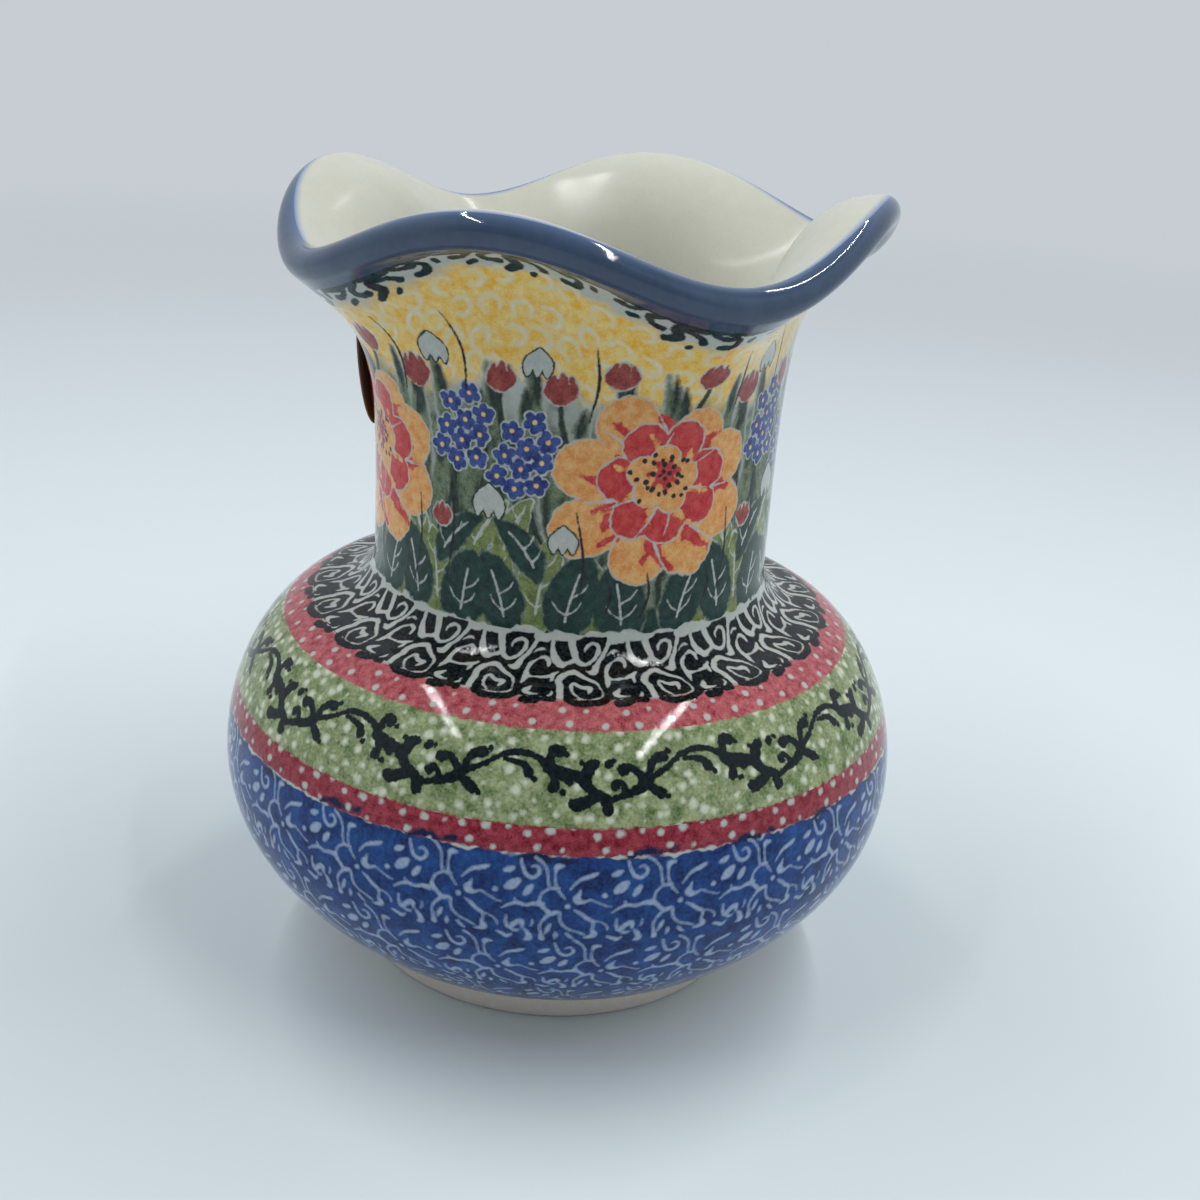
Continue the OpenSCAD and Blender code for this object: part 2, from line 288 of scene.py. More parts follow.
def brush(*points, steps=5):
    # smooth run through (x, y, half width) points, between b and c of each four neighbours:
    # 0.5 (2b + (c - a) t + (2a - 5b + 4c - d) t^2 + (3b - a - 3c + d) t^3)
    p = np.array([points[0], *points, points[-1]], float)
    t = np.linspace(0, 1, steps, endpoint=False)[:, None]
    runs = [0.5 * (2 * b + (c - a) * t + (2 * a - 5 * b + 4 * c - d) * t ** 2
                   + (3 * b - a - 3 * c + d) * t ** 3)
            for a, b, c, d in zip(p, p[1:], p[2:], p[3:])]
    return np.vstack(runs + [p[-1:]])


def spot(x, y, radius, stretch=0.0, lean=0.0):
    # a dot, or an oval from centre - stretch / 2 to centre + stretch / 2 along its lean
    a = math.radians(lean)
    dx, dy = stretch * math.cos(a) / 2, stretch * math.sin(a) / 2
    return np.array([[x - dx, y - dy, radius], [x + dx, y + dy, radius]])


def strokeField(x, y, strokes, reach=1.5):
    # least of |p - a - t (b - a)| - (ra + t (rb - ra)) over the pieces a b of the strokes, with
    # t held in 0 to 1, so it is below 0 inside a stroke; points further off than reach keep it,
    # and 1e-9 keeps a dot's own length from being 0
    least = np.full(x.shape, reach, np.float32)
    for stroke in strokes:
        spread = stroke[:, 2].max() + reach
        low, high = stroke[:, :2].min(0) - spread, stroke[:, :2].max(0) + spread
        near = np.nonzero((x > low[0]) & (x < high[0]) & (y > low[1]) & (y < high[1]))
        if not len(near[0]):
            continue
        px, py, best = x[near], y[near], least[near]
        for (ax, ay, ar), (bx, by, br) in zip(stroke[:-1], stroke[1:]):
            dx, dy = bx - ax, by - ay
            t = np.clip(((px - ax) * dx + (py - ay) * dy) / (dx * dx + dy * dy + 1e-9), 0, 1)
            best = np.minimum(best, np.hypot(px - ax - t * dx, py - ay - t * dy)
                              - (ar + t * (br - ar)))
        least[near] = best
    return least


# every print: how often it goes round, how far on its first one stands as a share of a print, how
# far askew one may be in radians, millimetres across and up, and the seed of the draws
prints = {
    "leaves": (22, 0.0, (0.04, 0.25, 0.25), 11), "leafTips": (22, 0.0, (0.1, 0.5, 0.6), 22),
    "vine": (12, 0.15, (0.02, 0.25, 0.2), 5), "scrolls": (19, 0.171, (0.02, 0.15, 0.2), 7),
    "lowDots": (36, 0.2, (0.1, 0.4, 0.25), 3), "highDots": (28, 0.2, (0.1, 0.4, 0.25), 4),
    "border": (4, 0.056, (0.03, 0.35, 0.35), 41), "commas": (50, 0.0, (1.4, 0.8, 0.9), 31),
    "tufts": (12, 0.3, (0.05, 0.5, 0.2), 43),
}


def stamped(height, radius, strokes, name, row=0, shift=None):
    # distance to a print's strokes, repeated round and each set a little askew:
    # x = (share of a turn from the print's middle) * 2 pi r, then turned and moved
    count, step, askew, seed = prints[name]
    draws = np.random.default_rng(seed + row).uniform(-1, 1, (count, 3)) * askew
    cell = turn * count + (step if shift is None else shift)
    least = None
    for over in (-1, 0, 1):
        place = np.floor(cell).astype(int) + over
        lean, across, up = np.moveaxis(draws[place % count], -1, 0)
        x = (cell - place - 0.5) / count * 2 * np.pi * radius - across
        y = height - up
        c, s = np.cos(lean), np.sin(lean)
        here = strokeField(x * c + y * s, y * c - x * s, strokes)
        least = here if least is None else np.minimum(least, here)
    return least


def leafLines():
    # white lines that part the cobalt leaves: rosette, petals, stem, curls, seeds and tufts
    return [
        brush((-7.7, 5.9, 0.21), (-6.8, 5.3, 0.20), (-6.1, 4.3, 0.18), (-5.9, 3.1, 0.16),
              (-5.7, 1.9, 0.18), (-5.2, 1.6, 0.21), (-4.4, 1.6, 0.21)),
        brush((-3.9, 4.8, 0.21), (-4.7, 4.7, 0.39), (-4.9, 3.9, 0.16), (-4.9, 2.7, 0.16),
              (-4.6, 1.6, 0.20), (-4.0, 0.7, 0.18), (-3.5, 0.1, 0.11)),
        brush((-5.7, 1.5, 0.16), (-6.6, 0.8, 0.18), (-6.9, -0.1, 0.20), (-6.9, -0.8, 0.36),
              (-6.1, -1.6, 0.29), (-5.4, -2.3, 0.36), (-4.7, -2.1, 0.32), (-4.2, -2.2, 0.25),
              (-4.1, -3.1, 0.21), (-3.8, -4.0, 0.21), (-2.9, -4.8, 0.18), (-1.7, -5.3, 0.18),
              (-0.7, -5.8, 0.16)),
        brush((-5.5, -2.4, 0.29), (-6.3, -3.3, 0.20), (-6.8, -4.3, 0.18), (-6.7, -5.4, 0.20),
              (-6.5, -6.6, 0.43)),
        spot(-3.1, -1.1, 0.39),
        brush((-2.1, -1.7, 0.14), (-1.3, -2.2, 0.27), (-0.4, -3.0, 0.30), (0.4, -3.5, 0.27),
              (0.5, -4.3, 0.18), (0.4, -5.0, 0.27), (0.7, -5.8, 0.46), (0.0, -6.2, 0.29),
              (-0.6, -6.3, 0.16)),
        brush((0.4, -3.4, 0.11), (1.5, -3.7, 0.11), (2.3, -4.3, 0.16), (2.5, -5.0, 0.14)),
        brush((-1.4, 1.4, 0.11), (-1.6, 0.8, 0.25), (-1.9, 0.1, 0.54), (-1.6, -0.3, 0.50),
              (-0.9, -0.4, 0.25), (0.0, -0.1, 0.16), (0.9, -0.5, 0.12), (2.2, -1.1, 0.14),
              (2.8, -1.2, 0.09)),
        brush((-2.8, 1.5, 0.11), (-2.0, 2.5, 0.18), (-1.3, 3.0, 0.27), (-0.4, 3.3, 0.30),
              (0.4, 3.6, 0.29), (0.8, 3.8, 0.14)),
        brush((3.5, 1.1, 0.43), (4.2, 1.6, 0.71), (4.9, 2.2, 0.43)),
        brush((6.0, 0.4, 0.29), (6.4, 1.0, 0.48), (6.8, 1.6, 0.29)),
        brush((3.0, 3.5, 0.25), (3.6, 3.7, 0.43), (4.2, 4.0, 0.21)),
        spot(1.9, 0.5, 0.39),
        brush((5.1, 5.3, 0.18), (5.4, 4.3, 0.23), (5.9, 3.3, 0.27), (6.8, 2.9, 0.27),
              (7.6, 3.4, 0.23), (7.7, 4.1, 0.23), (7.2, 4.6, 0.18), (6.6, 4.4, 0.12)),
        brush((8.4, -1.0, 0.43), (7.3, -1.0, 0.29), (6.2, -1.3, 0.23), (5.1, -1.1, 0.27),
              (4.0, -1.5, 0.18), (3.0, -2.2, 0.12)),
        brush((4.7, -0.5, 0.14), (5.0, -1.1, 0.25)),
        brush((-5.4, -4.1, 0.18), (-5.7, -4.9, 0.32), (-6.0, -5.7, 0.14)),
        brush((-4.6, -5.4, 0.14), (-4.6, -6.0, 0.30), (-4.7, -6.6, 0.11)),
        brush((3.7, -3.3, 0.14), (3.7, -4.4, 0.23), (4.2, -5.2, 0.34), (5.1, -4.3, 0.39),
              (5.8, -4.1, 0.43), (6.0, -5.0, 0.18)),
        brush((4.3, -5.1, 0.25), (4.8, -5.7, 0.25), (5.4, -5.6, 0.20)),
        brush((6.3, -5.3, 0.18), (6.8, -6.0, 0.36), (7.0, -6.9, 0.45), (6.4, -7.2, 0.16)),
        brush((7.3, -3.6, 0.11), (7.3, -4.2, 0.16), (7.1, -4.7, 0.09)),
        brush((2.6, -6.3, 0.21), (3.3, -6.6, 0.29), (3.9, -6.9, 0.32), (4.5, -6.5, 0.16)),
        brush((-3.1, -5.7, 0.21), (-2.6, -6.2, 0.25), (-2.1, -6.6, 0.12)),
    ]


def scrollFeet():
    # charcoal feet of one scroll, which hang over the red stripe below
    return [
        brush((-1.7, 0.8, 0.57), (-0.3, 0.2, 0.63), (1.3, 0.2, 0.63), (2.7, 0.5, 0.69),
              (4.1, 1.5, 0.74)),
        brush((5.2, 0.2, 0.71), (6.3, 0.3, 0.74), (7.0, 0.5, 0.57)),
        brush((8.0, 0.8, 0.63), (8.9, 0.7, 0.63)),
    ]


def scrollLines():
    # white lines through the charcoal of one repeat: snail, lying leaf, hook, cup, curl and top
    return [
        brush((-2.6, 0.8, 0.50), (-2.7, 2.3, 0.53), (-2.7, 3.8, 0.57), (-3.0, 4.9, 0.60),
              (-2.6, 5.9, 0.57), (-1.7, 6.6, 0.46), (-0.5, 6.9, 0.49), (0.4, 6.3, 0.43),
              (1.1, 5.8, 0.39), (2.1, 5.2, 0.34), (2.8, 4.6, 0.30), (3.1, 3.5, 0.21),
              (3.3, 2.3, 0.19), (3.1, 1.5, 0.21), (2.3, 1.1, 0.21), (1.3, 0.7, 0.24),
              (0.3, 0.9, 0.21), (-0.3, 1.5, 0.24), (-0.9, 2.3, 0.27), (-1.1, 3.5, 0.31),
              (-1.0, 4.3, 0.34), (-0.6, 4.6, 0.37), (0.0, 4.0, 0.40), (0.7, 3.6, 0.49),
              (1.5, 3.6, 0.54), (1.5, 2.8, 0.37), (1.3, 2.2, 0.20)),
        brush((4.2, 3.7, 0.17), (4.4, 4.6, 0.43), (4.6, 5.6, 0.54), (4.5, 6.5, 0.43),
              (4.8, 7.6, 0.40), (5.5, 8.3, 0.26), (6.1, 8.7, 0.20), (7.0, 9.0, 0.34),
              (7.8, 8.5, 0.43), (7.8, 7.7, 0.29)),
        brush((4.6, 5.6, 0.51), (5.7, 5.5, 0.26), (7.1, 5.6, 0.29), (8.4, 6.0, 0.43),
              (9.4, 6.7, 0.23)),
        brush((8.7, 6.1, 0.34), (8.6, 5.2, 0.34), (8.5, 4.7, 0.17)),
        brush((5.9, 3.3, 0.14), (5.5, 2.6, 0.43), (5.1, 1.9, 0.49), (6.0, 1.5, 0.31),
              (7.0, 1.5, 0.14)),
        brush((8.8, 2.4, 0.14), (8.8, 1.7, 0.26), (8.3, 1.3, 0.17)),
        brush((-4.3, 12.2, 0.43), (-4.3, 10.9, 0.43), (-4.1, 9.7, 0.60), (-3.6, 8.8, 0.71),
              (-2.7, 8.1, 0.60), (-1.7, 8.4, 0.34), (-0.7, 8.8, 0.43)),
        brush((-1.2, 12.3, 0.80), (-0.9, 10.9, 0.71), (-0.5, 9.8, 0.66), (-0.1, 8.8, 0.51),
              (1.0, 8.2, 0.37), (2.0, 8.5, 0.31), (2.8, 9.1, 0.34), (3.5, 10.1, 0.43),
              (3.6, 10.9, 0.40), (2.8, 11.3, 0.29), (2.0, 11.1, 0.31), (1.3, 10.6, 0.29),
              (1.2, 10.1, 0.20)),
        brush((1.3, 7.1, 0.14), (2.1, 6.9, 0.49), (2.7, 7.1, 0.63), (3.0, 7.8, 0.57),
              (3.4, 8.5, 0.40), (4.1, 9.3, 0.40), (4.8, 10.3, 0.37), (5.4, 11.3, 0.46),
              (5.9, 12.3, 0.54)),
        brush((5.0, 9.5, 0.10), (5.7, 10.0, 0.21), (6.5, 10.2, 0.29), (7.1, 10.1, 0.14)),
        brush((-7.0, 12.1, 0.86), (-5.6, 12.0, 0.74), (-4.6, 12.2, 0.63), (-2.3, 12.3, 0.80),
              (0.0, 12.5, 0.74), (1.0, 13.1, 0.71), (2.7, 13.5, 0.69), (4.7, 13.3, 0.74),
              (5.7, 12.3, 0.63), (5.9, 12.1, 0.86)),
    ]


def vinePrint():
    # dark vine of one repeat: a waving stem, leaves with round ends and a loose berry
    return [
        brush((-13.4, 3.9, 0.42), (-11.9, 4.4, 0.50), (-10.2, 4.9, 0.63), (-8.8, 5.5, 0.79),
              (-7.8, 6.3, 0.79), (-6.9, 6.8, 0.47), (-5.8, 7.3, 0.45), (-4.5, 8.0, 0.42),
              (-3.2, 8.9, 0.39), (-2.2, 9.5, 0.45), (-0.7, 9.9, 0.50), (0.8, 9.9, 0.50),
              (2.3, 9.5, 0.47), (3.4, 8.8, 0.6), (4.6, 7.9, 0.84), (6.1, 7.3, 1.0),
              (7.7, 7.1, 0.8), (8.9, 6.5, 0.88), (9.6, 5.6, 0.72), (10.6, 4.8, 0.7),
              (11.7, 4.3, 0.68), (12.7, 3.9, 0.47), (13.4, 3.9, 0.42)),
        brush((-7.4, 6.7, 0.53), (-7.0, 8.2, 0.58), (-6.1, 9.2, 0.68), (-5.0, 9.4, 0.84)),
        brush((-8.2, 6.5, 0.74), (-8.9, 7.6, 0.58), (-9.9, 8.2, 0.63), (-10.9, 7.9, 0.84)),
        brush((-11.0, 4.9, 0.53), (-11.1, 5.8, 0.47), (-11.9, 6.3, 0.53), (-12.4, 5.8, 0.68)),
        brush((-7.7, 5.6, 0.58), (-6.9, 5.1, 0.74), (-6.1, 4.5, 0.84)),
        brush((-2.0, 8.9, 0.32), (-0.3, 8.6, 0.42), (0.8, 8.2, 0.58), (1.4, 7.3, 0.74)),
        brush((4.1, 9.0, 0.63), (4.1, 10.2, 0.53), (4.4, 10.8, 0.58), (5.3, 10.4, 0.89)),
        brush((3.9, 8.0, 0.68), (4.9, 6.7, 0.53), (4.9, 5.5, 0.84)),
        brush((6.8, 6.7, 0.79), (7.1, 6.2, 0.53)),
        brush((9.2, 7.1, 0.89), (9.5, 8.3, 0.95), (10.2, 8.8, 0.68)),
        spot(12.1, 8.7, 0.72), spot(-11.9, 9.2, 0.4), spot(-4.1, 10.1, 0.5), spot(6.3, 9.9, 0.45),
        spot(2.2, 6.5, 0.5), spot(8.4, 8.9, 0.42), spot(-5.2, 4.0, 0.45), spot(6.2, 4.9, 0.5),
        brush((10.7, 4.2, 0.74), (9.4, 3.6, 0.89), (8.2, 3.2, 0.89), (7.8, 3.5, 0.74)),
        brush((11.9, 4.0, 0.58), (12.6, 2.5, 0.84)),
    ]


def lipTufts():
    # curling tufts that hang from under the lip, y up towards the lip's edge
    return [
        brush((-9.0, 4.6, 0.4), (-6.4, 4.2, 0.55), (-3.4, 4.6, 0.6), (0.0, 3.9, 0.75),
              (3.4, 4.4, 0.6), (6.4, 4.2, 0.5), (9.0, 4.6, 0.4)),
        brush((-3.2, 4.3, 0.6), (-4.4, 3.1, 0.5), (-3.9, 2.1, 0.4), (-2.8, 1.9, 0.55)),
        brush((-1.2, 4.1, 0.6), (-1.6, 2.8, 0.6), (-0.9, 1.5, 0.65), (-1.9, 0.6, 0.55)),
        brush((-0.9, 3.2, 0.5), (0.9, 2.6, 0.4), (1.7, 1.7, 0.55)),
        brush((1.6, 4.2, 0.5), (2.9, 3.2, 0.4), (4.2, 3.0, 0.6)),
        brush((3.9, 4.2, 0.5), (5.4, 2.7, 0.42), (5.0, 1.4, 0.5), (3.8, 1.3, 0.5)),
        brush((-5.2, 4.2, 0.4), (-6.3, 3.0, 0.42), (-7.4, 3.0, 0.55)),
        spot(-5.6, 1.7, 0.45, 0.6, 20), spot(0.6, 0.4, 0.36, 0.3, 60), spot(6.9, 2.6, 0.4, 0.5, 80),
    ]


# flower border: how far the yellow, its rows of commas and the tufts hang down from the lip, how
# high the mist, the thicket and the white foot stand, the blossom's place and size, and the seed
# of the blades' draws
border = {"washDepth": 21.0, "washTop": 4.5, "commaTop": 6.5, "commaPitch": 4.4, "commaRows": 4,
          "tuftHeight": 5.5, "tuftSize": 1.3, "mistHeight": 32.5, "thicketHeight": 3.5,
          "footHeight": 0.3, "blossom": (0.0, 20.5, 14.5), "seed": 41}


def leafShape(x, y, lean, long, wide):
    # narrow foot to pointed end: (x + long t sin(lean (0.5 + t)), y + long t cos(lean t)), where
    # half the width is wide w
    a = math.radians(lean)
    ends = [(0.05, 0.35), (0.35, 1.0), (0.7, 0.8), (1.0, 0.12)]
    return brush(*[(x + long * t * math.sin(a * (0.5 + t)), y + long * t * math.cos(a * t),
                    wide * w) for t, w in ends])


def leafVeins(x, y, lean, long, wide):
    # a midrib through the leaf's own points, and side veins up and out from three of them
    mid = leafShape(x, y, lean, long, wide)
    veins = [np.column_stack([mid[3:-4, :2], np.full(len(mid) - 7, 0.17)])]
    for number, k in enumerate((4, 7, 10)):
        px, py, w = mid[k]
        veins += [brush((px, py, 0.15), (px + way * 0.4 * w, py + 0.9, 0.13),
                        (px + way * 0.62 * w, py + 2.1, 0.08)) for way in (-1, 1)[number % 2:]]
    return veins


def ring(x, y, reach, count, start, loose, seed):
    # count places (x + r cos a, y + 0.94 r sin a, a), whose reach r and angle a vary by a draw
    draws = np.random.default_rng(seed).uniform(-1, 1, (count, 2)) * loose
    turns = np.radians(start + 360 * (np.arange(count) + 0.5 * draws[:, 0]) / count)
    reach = reach * (1 + 0.5 * draws[:, 1])
    return [(x + r * math.cos(a), y + 0.94 * r * math.sin(a), a) for r, a in zip(reach, turns)]


def petalRing(x, y, reach, radius, count, start=90.0, long=0.6, loose=0.0, seed=1):
    # count round petals about (x, y), at a distance reach, each long towards the middle
    return [spot(px, py, radius, long, math.degrees(a))
            for px, py, a in ring(x, y, reach, count, start, loose, seed)]


def blossomLayers(x, y, size):
    # three rings of petals, the inner ones set up and back, with flushes, gaps and a seeded heart
    layers = {"outer": (0.0, 0.66, 0.29, 8, 24, 0.24), "middle": (0.09, 0.37, 0.21, 7, 70, 0.16),
              "inner": (0.16, 0.17, 0.15, 5, 12, 0.1)}
    petals = {name: petalRing(x, y + size * up, size * reach, size * radius, count, start,
                              size * long, 0.3, number)
              for number, (name, (up, reach, radius, count, start, long))
              in enumerate(layers.items())}

    def streaks(up, near, far, count, start, wide, bend, seed):
        # strokes that run out from near to far and bend to one side
        return [brush(*[(x + size * r * math.cos(a + bend * t), y + size * (up + r * math.sin(a)),
                         size * wide * (1 - 0.75 * t))
                        for t, r in ((0, near), (0.5, (near + far) / 2), (1, far))])
                for _, _, a in ring(0, 0, 1, count, start, 0.4, seed)]

    heart = (x, y + 0.2 * size)
    return {
        **petals,
        "flush": streaks(0.03, 0.56, 0.8, 8, 36, 0.085, 0.3, 5)
        + streaks(0.03, 0.5, 0.7, 8, 12, 0.06, -0.3, 6),
        "gaps": streaks(0.0, 0.5, 0.85, 8, 0, 0.019, 0.25, 7),
        "glow": streaks(0.1, 0.25, 0.5, 7, 46, 0.05, 0.3, 8),
        "folds": streaks(0.09, 0.22, 0.56, 7, 96, 0.016, -0.3, 9),
        "heart": [spot(*heart, 0.1 * size), *petalRing(*heart, 0.13 * size, 0.03 * size, 7, 20)],
        "seeds": [*petalRing(*heart, 0.17 * size, 0.026 * size, 11, 5, 0.2, 0.7, 2),
                  *petalRing(*heart, 0.25 * size, 0.022 * size, 15, 0, 0.15, 0.9, 3),
                  *petalRing(*heart, 0.05 * size, 0.022 * size, 4, 0, 0.1, 0.5, 4)],
    }


def budShape(x, y, size):
    # three strokes that stand together: one upright, two leaning in
    return [brush((x, y, 0.3 * size), (x, y + size, 0.75 * size), (x, y + 2.4 * size, 0.2 * size)),
            *[brush((x + way * 0.4 * size, y, 0.25 * size),
                    (x + way * 0.95 * size, y + size, 0.5 * size),
                    (x + way * 0.7 * size, y + 2.2 * size, 0.15 * size)) for way in (-1, 1)]]


def bellShape(x, y, size):
    # three hanging petals of a white bell
    return [brush((x, y, 0.25 * size), (x + way * 0.75 * size, y - 1.2 * size, 0.55 * size),
                  (x + way * 0.9 * size, y - 2.3 * size, 0.15 * size)) for way in (-1, 0, 1)]


def borderPaint():
    # one repeat of the border, y up from its lower line: the blossom in the middle, sprays of
    # small blue flowers, red buds, white bells, upright blades and a thicket of broad leaves
    draws = np.random.default_rng(border["seed"]).uniform(-1, 1, (24, 5))
    blades = [(2.05 * k - 23.5 + 0.8 * a, 12.5 + 6 * b, 7 * c, 19 + 5 * d, 1.5 + 0.4 * e)
              for k, (a, b, c, d, e) in enumerate(draws)]
    leaves = {"darkLeaves": [(-21.3, -1, -12, 12, 3.4), (-13.2, -1, 10, 13, 3.7),
                             (-4.6, -1, -6, 11, 3.9), (3.6, -1, 12, 12, 3.6),
                             (12.0, -1, -10, 13.5, 3.5), (19.8, -1, 6, 11.5, 3.8),
                             (-16.8, 7.5, -30, 9.5, 2.2), (15.9, 8, 32, 9.5, 2.1)],
              "paleLeaves": [(-17.3, -0.6, 6, 14.5, 3.3), (-8.9, -0.6, -8, 13, 3.3),
                             (7.7, -0.6, 4, 14, 3.2), (15.8, -0.6, -4, 13, 3.2),
                             (23.6, -0.6, 8, 13.5, 3.3), (-22.4, 9.5, 16, 10, 2.1),
                             (12.4, 9.5, -16, 8, 1.9), (21.2, 9.5, 22, 10, 2.2)]}
    clusters = [(19.6, 26.5), (-20.0, 23.5)]
    offsets = [(0, 0), (2.9, 1.2), (0.7, 3.0), (-2.4, 1.7), (2.3, -2.1), (-0.8, -2.9), (3.6, 4.2),
               (-1.5, 5.3), (-3.4, -1.4), (1.6, 6.9)]
    small = [(x + dx, y + dy) for x, y in clusters for dx, dy in offsets]
    buds = [(4.6, 37.0, 1.6), (-7.8, 36.4, 1.5), (12.7, 33.4, 1.7), (-15.2, 33.6, 1.6),
            (16.2, 13.6, 1.2), (-23.6, 34.6, 1.5)]
    bells = [(23.9, 20.5, 1.8), (-13.6, 15.5, 1.5), (16.6, 41.0, 1.6), (-18.6, 40.5, 1.5)]
    stalks = [((1.2, 2), (0.4, 9)), ((13.6, 8), (19.2, 26.5)), ((-14.4, 8), (-19.6, 24)),
              ((3.4, 33), (4.6, 37.4)), ((-6.6, 33), (-7.8, 36.8)), ((11.6, 28), (12.7, 33.8)),
              ((-13.8, 27), (-15.2, 34)), ((22.6, 8), (23.9, 20.8)), ((-22.6, 27), (-23.6, 35))]
    marks = [((10.6, 3), (11.8, 17)), ((-11.2, 4), (-12.0, 18)), ((17.4, 6), (17.6, 22)),
             ((8.2, 3), (8.4, 9)), ((-7.2, 3), (-7.6, 9)), ((10.2, 32), (9.2, 43)),
             ((-11.2, 31), (-11.6, 42)), ((20.8, 34), (19.6, 45)), ((-2.2, 2), (-1.4, 9))]
    return {
        "blades": [leafShape(*blade) for blade in blades],
        "tips": [leafShape(x + 0.66 * long * math.sin(math.radians(lean)), y + 0.7 * long, lean,
                           long * 0.3, wide * 0.55) for x, y, lean, long, wide in blades],
        "shades": [leafShape(x + 0.7, y - 4, lean, long * 0.7, wide * 0.42)
                   for x, y, lean, long, wide in blades],
        "stems": [brush((*a, 0.45), (a[0] * 0.3 + b[0] * 0.7, (a[1] + b[1]) / 2, 0.42), (*b, 0.32))
                  for a, b in stalks],
        **{key: [leafShape(*leaf) for leaf in rows] for key, rows in leaves.items()},
        "paleVeins": [vein for leaf in leaves["paleLeaves"] for vein in leafVeins(*leaf)],
        "darkVeins": [vein for leaf in leaves["darkLeaves"] for vein in leafVeins(*leaf)[:4]],
        **blossomLayers(*border["blossom"]),
        "buds": [stroke for bud in buds for stroke in budShape(*bud)],
        "small": [petal for x, y in small
                  for petal in petalRing(x, y, 0.92, 0.66, 5, 60 * x, 0.2, 0.3, int(9 * y))],
        "eyes": [spot(x, y, 0.34) for x, y in small],
        "bells": [petal for bell in bells for petal in bellShape(*bell)],
        "marks": [brush((*a, 0.12), ((a[0] + b[0]) / 2 + 0.9, (a[1] + b[1]) / 2, 0.22), (*b, 0.1))
                  for a, b in marks],
    }


def washCommas(fromLip, radius):
    # least distance to commas left open in the yellow, in rows under the lip set over by halves
    comma = [brush((-1.5, -0.6, 0.2), (-0.9, 1.0, 0.36), (0.7, 1.2, 0.36), (1.4, -0.1, 0.34),
                   (0.6, -1.2, 0.2))]
    rows = [stamped(border["commaTop"] + border["commaPitch"] * row - fromLip, radius, comma,
                    "commas", row, 0.5 * row) for row in range(border["commaRows"])]
    return np.minimum.reduce(rows)


def jitteredSpots(height, radius, pitch, largest, spread, seed):
    # least of |p - centre| - size over a grid of centres pitch apart, moved by up to spread;
    # every second row of the grid is set over by half the pitch
    count = int(round(2 * np.pi * float(np.mean(radius)) / pitch))
    rows = int(height.max() / pitch) + 4
    draws = np.random.default_rng(seed).uniform(-1, 1, (rows, count, 3))
    least = None
    for up in (-1, 0, 1):
        row = np.floor(height / pitch).astype(int) + up
        cell = turn * count - 0.5 * (row % 2)
        for over in (-1, 0, 1):
            column = np.floor(cell).astype(int) + over
            draw = draws[row % rows, column % count]
            x = (cell - column - 0.5 - spread * draw[..., 0]) / count * 2 * np.pi * radius
            y = height - (row + 0.5 + spread * draw[..., 1]) * pitch
            here = np.hypot(x, y) - largest * (draw[..., 2] + 1) / 2
            least = here if least is None else np.minimum(least, here)
    return least


print("vase: meshes")

# rows of the grid across each band, and along each stretch of the lip, the clay and the inside
rowsAcross = {"blue": 164, "lowerDots": 16, "vine": 60, "upperDots": 16, "scroll": 70, "neck": 46,
              "mouth": 158, "under": 9, "lipFace": 9, "lipRoll": 24, "clay": 70, "clayMouth": 24,
              "clayLip": 9, "liner": 80, "linerUnder": 40, "mouthUnder": 16, "mouthInside": 60,
              "lipUnder": 3, "lipOver": 7}
# in millimetres: width of the blue glaze's rounded lower edge, how far the hollow under the foot
# runs level short of its ring, the radii of the ring's corners, and of the rings of the floor
edges = {"blueEdge": 0.7, "hollowShort": 6.0, "hollowCorner": 0.6, "innerCorner": 0.5,
         "outerCorner": 0.7, "floorRings": [24.0, 14.0, 5.0, 0.0]}

angles = roundAngles(columns)
turn = (angles / (2 * np.pi))[:, None]


def sparse(count, keep):
    # about keep whole numbers from 0 to count - 1, both ends among them
    return np.unique(np.linspace(0, count - 1, keep).round().astype(int))


def roundBand(low, high, rows, edge=0.0):
    # outer face and underside of a coat between two heights, and each row's length and radius;
    # a rounded lower edge sinks by almost all of the glaze: (1 - sqrt(1 - (1 - length / edge)^2))
    places, lengths = placesBetween(low, high, rows)
    near = np.clip(1 - lengths / edge, 0, 1) if edge else np.zeros(rows)
    depth = 0.98 * glaze * (1 - np.sqrt(1 - near ** 2))
    outer = outside(places)
    return {"outer": outer - depth[:, None] * (outer - outside(places, 1.0)),
            "under": outside(places, glaze), "lengths": lengths[None, :],
            "radius": outer[None, :, 0]}


def bandPiece(name, band, start, end, fields, material, nodes):
    # rows start to end of a band as a closed coat
    keep = start + sparse(end - start, rowsAcross["under"])
    coat = coatMesh(name, turned(angles, band["outer"][..., start:end, :]),
                    turned(angles, band["under"][..., keep, :]),
                    {key: values[:, start:end] for key, values in fields.items()})
    addPiece(name, coat, material, nodes)


def roundedCorner(before, corner, after, radius, steps=5):
    # curve B(t) = (1-t)^2 p + 2 (1-t) t corner + t^2 q, with p and q radius away along the sides
    before, corner, after = (np.array(p, float) for p in (before, corner, after))
    p = corner + radius * (before - corner) / np.linalg.norm(before - corner)
    q = corner + radius * (after - corner) / np.linalg.norm(after - corner)
    t = np.linspace(0, 1, steps)[:, None]
    return (1 - t) ** 2 * p + 2 * (1 - t) * t * corner + t * t * q


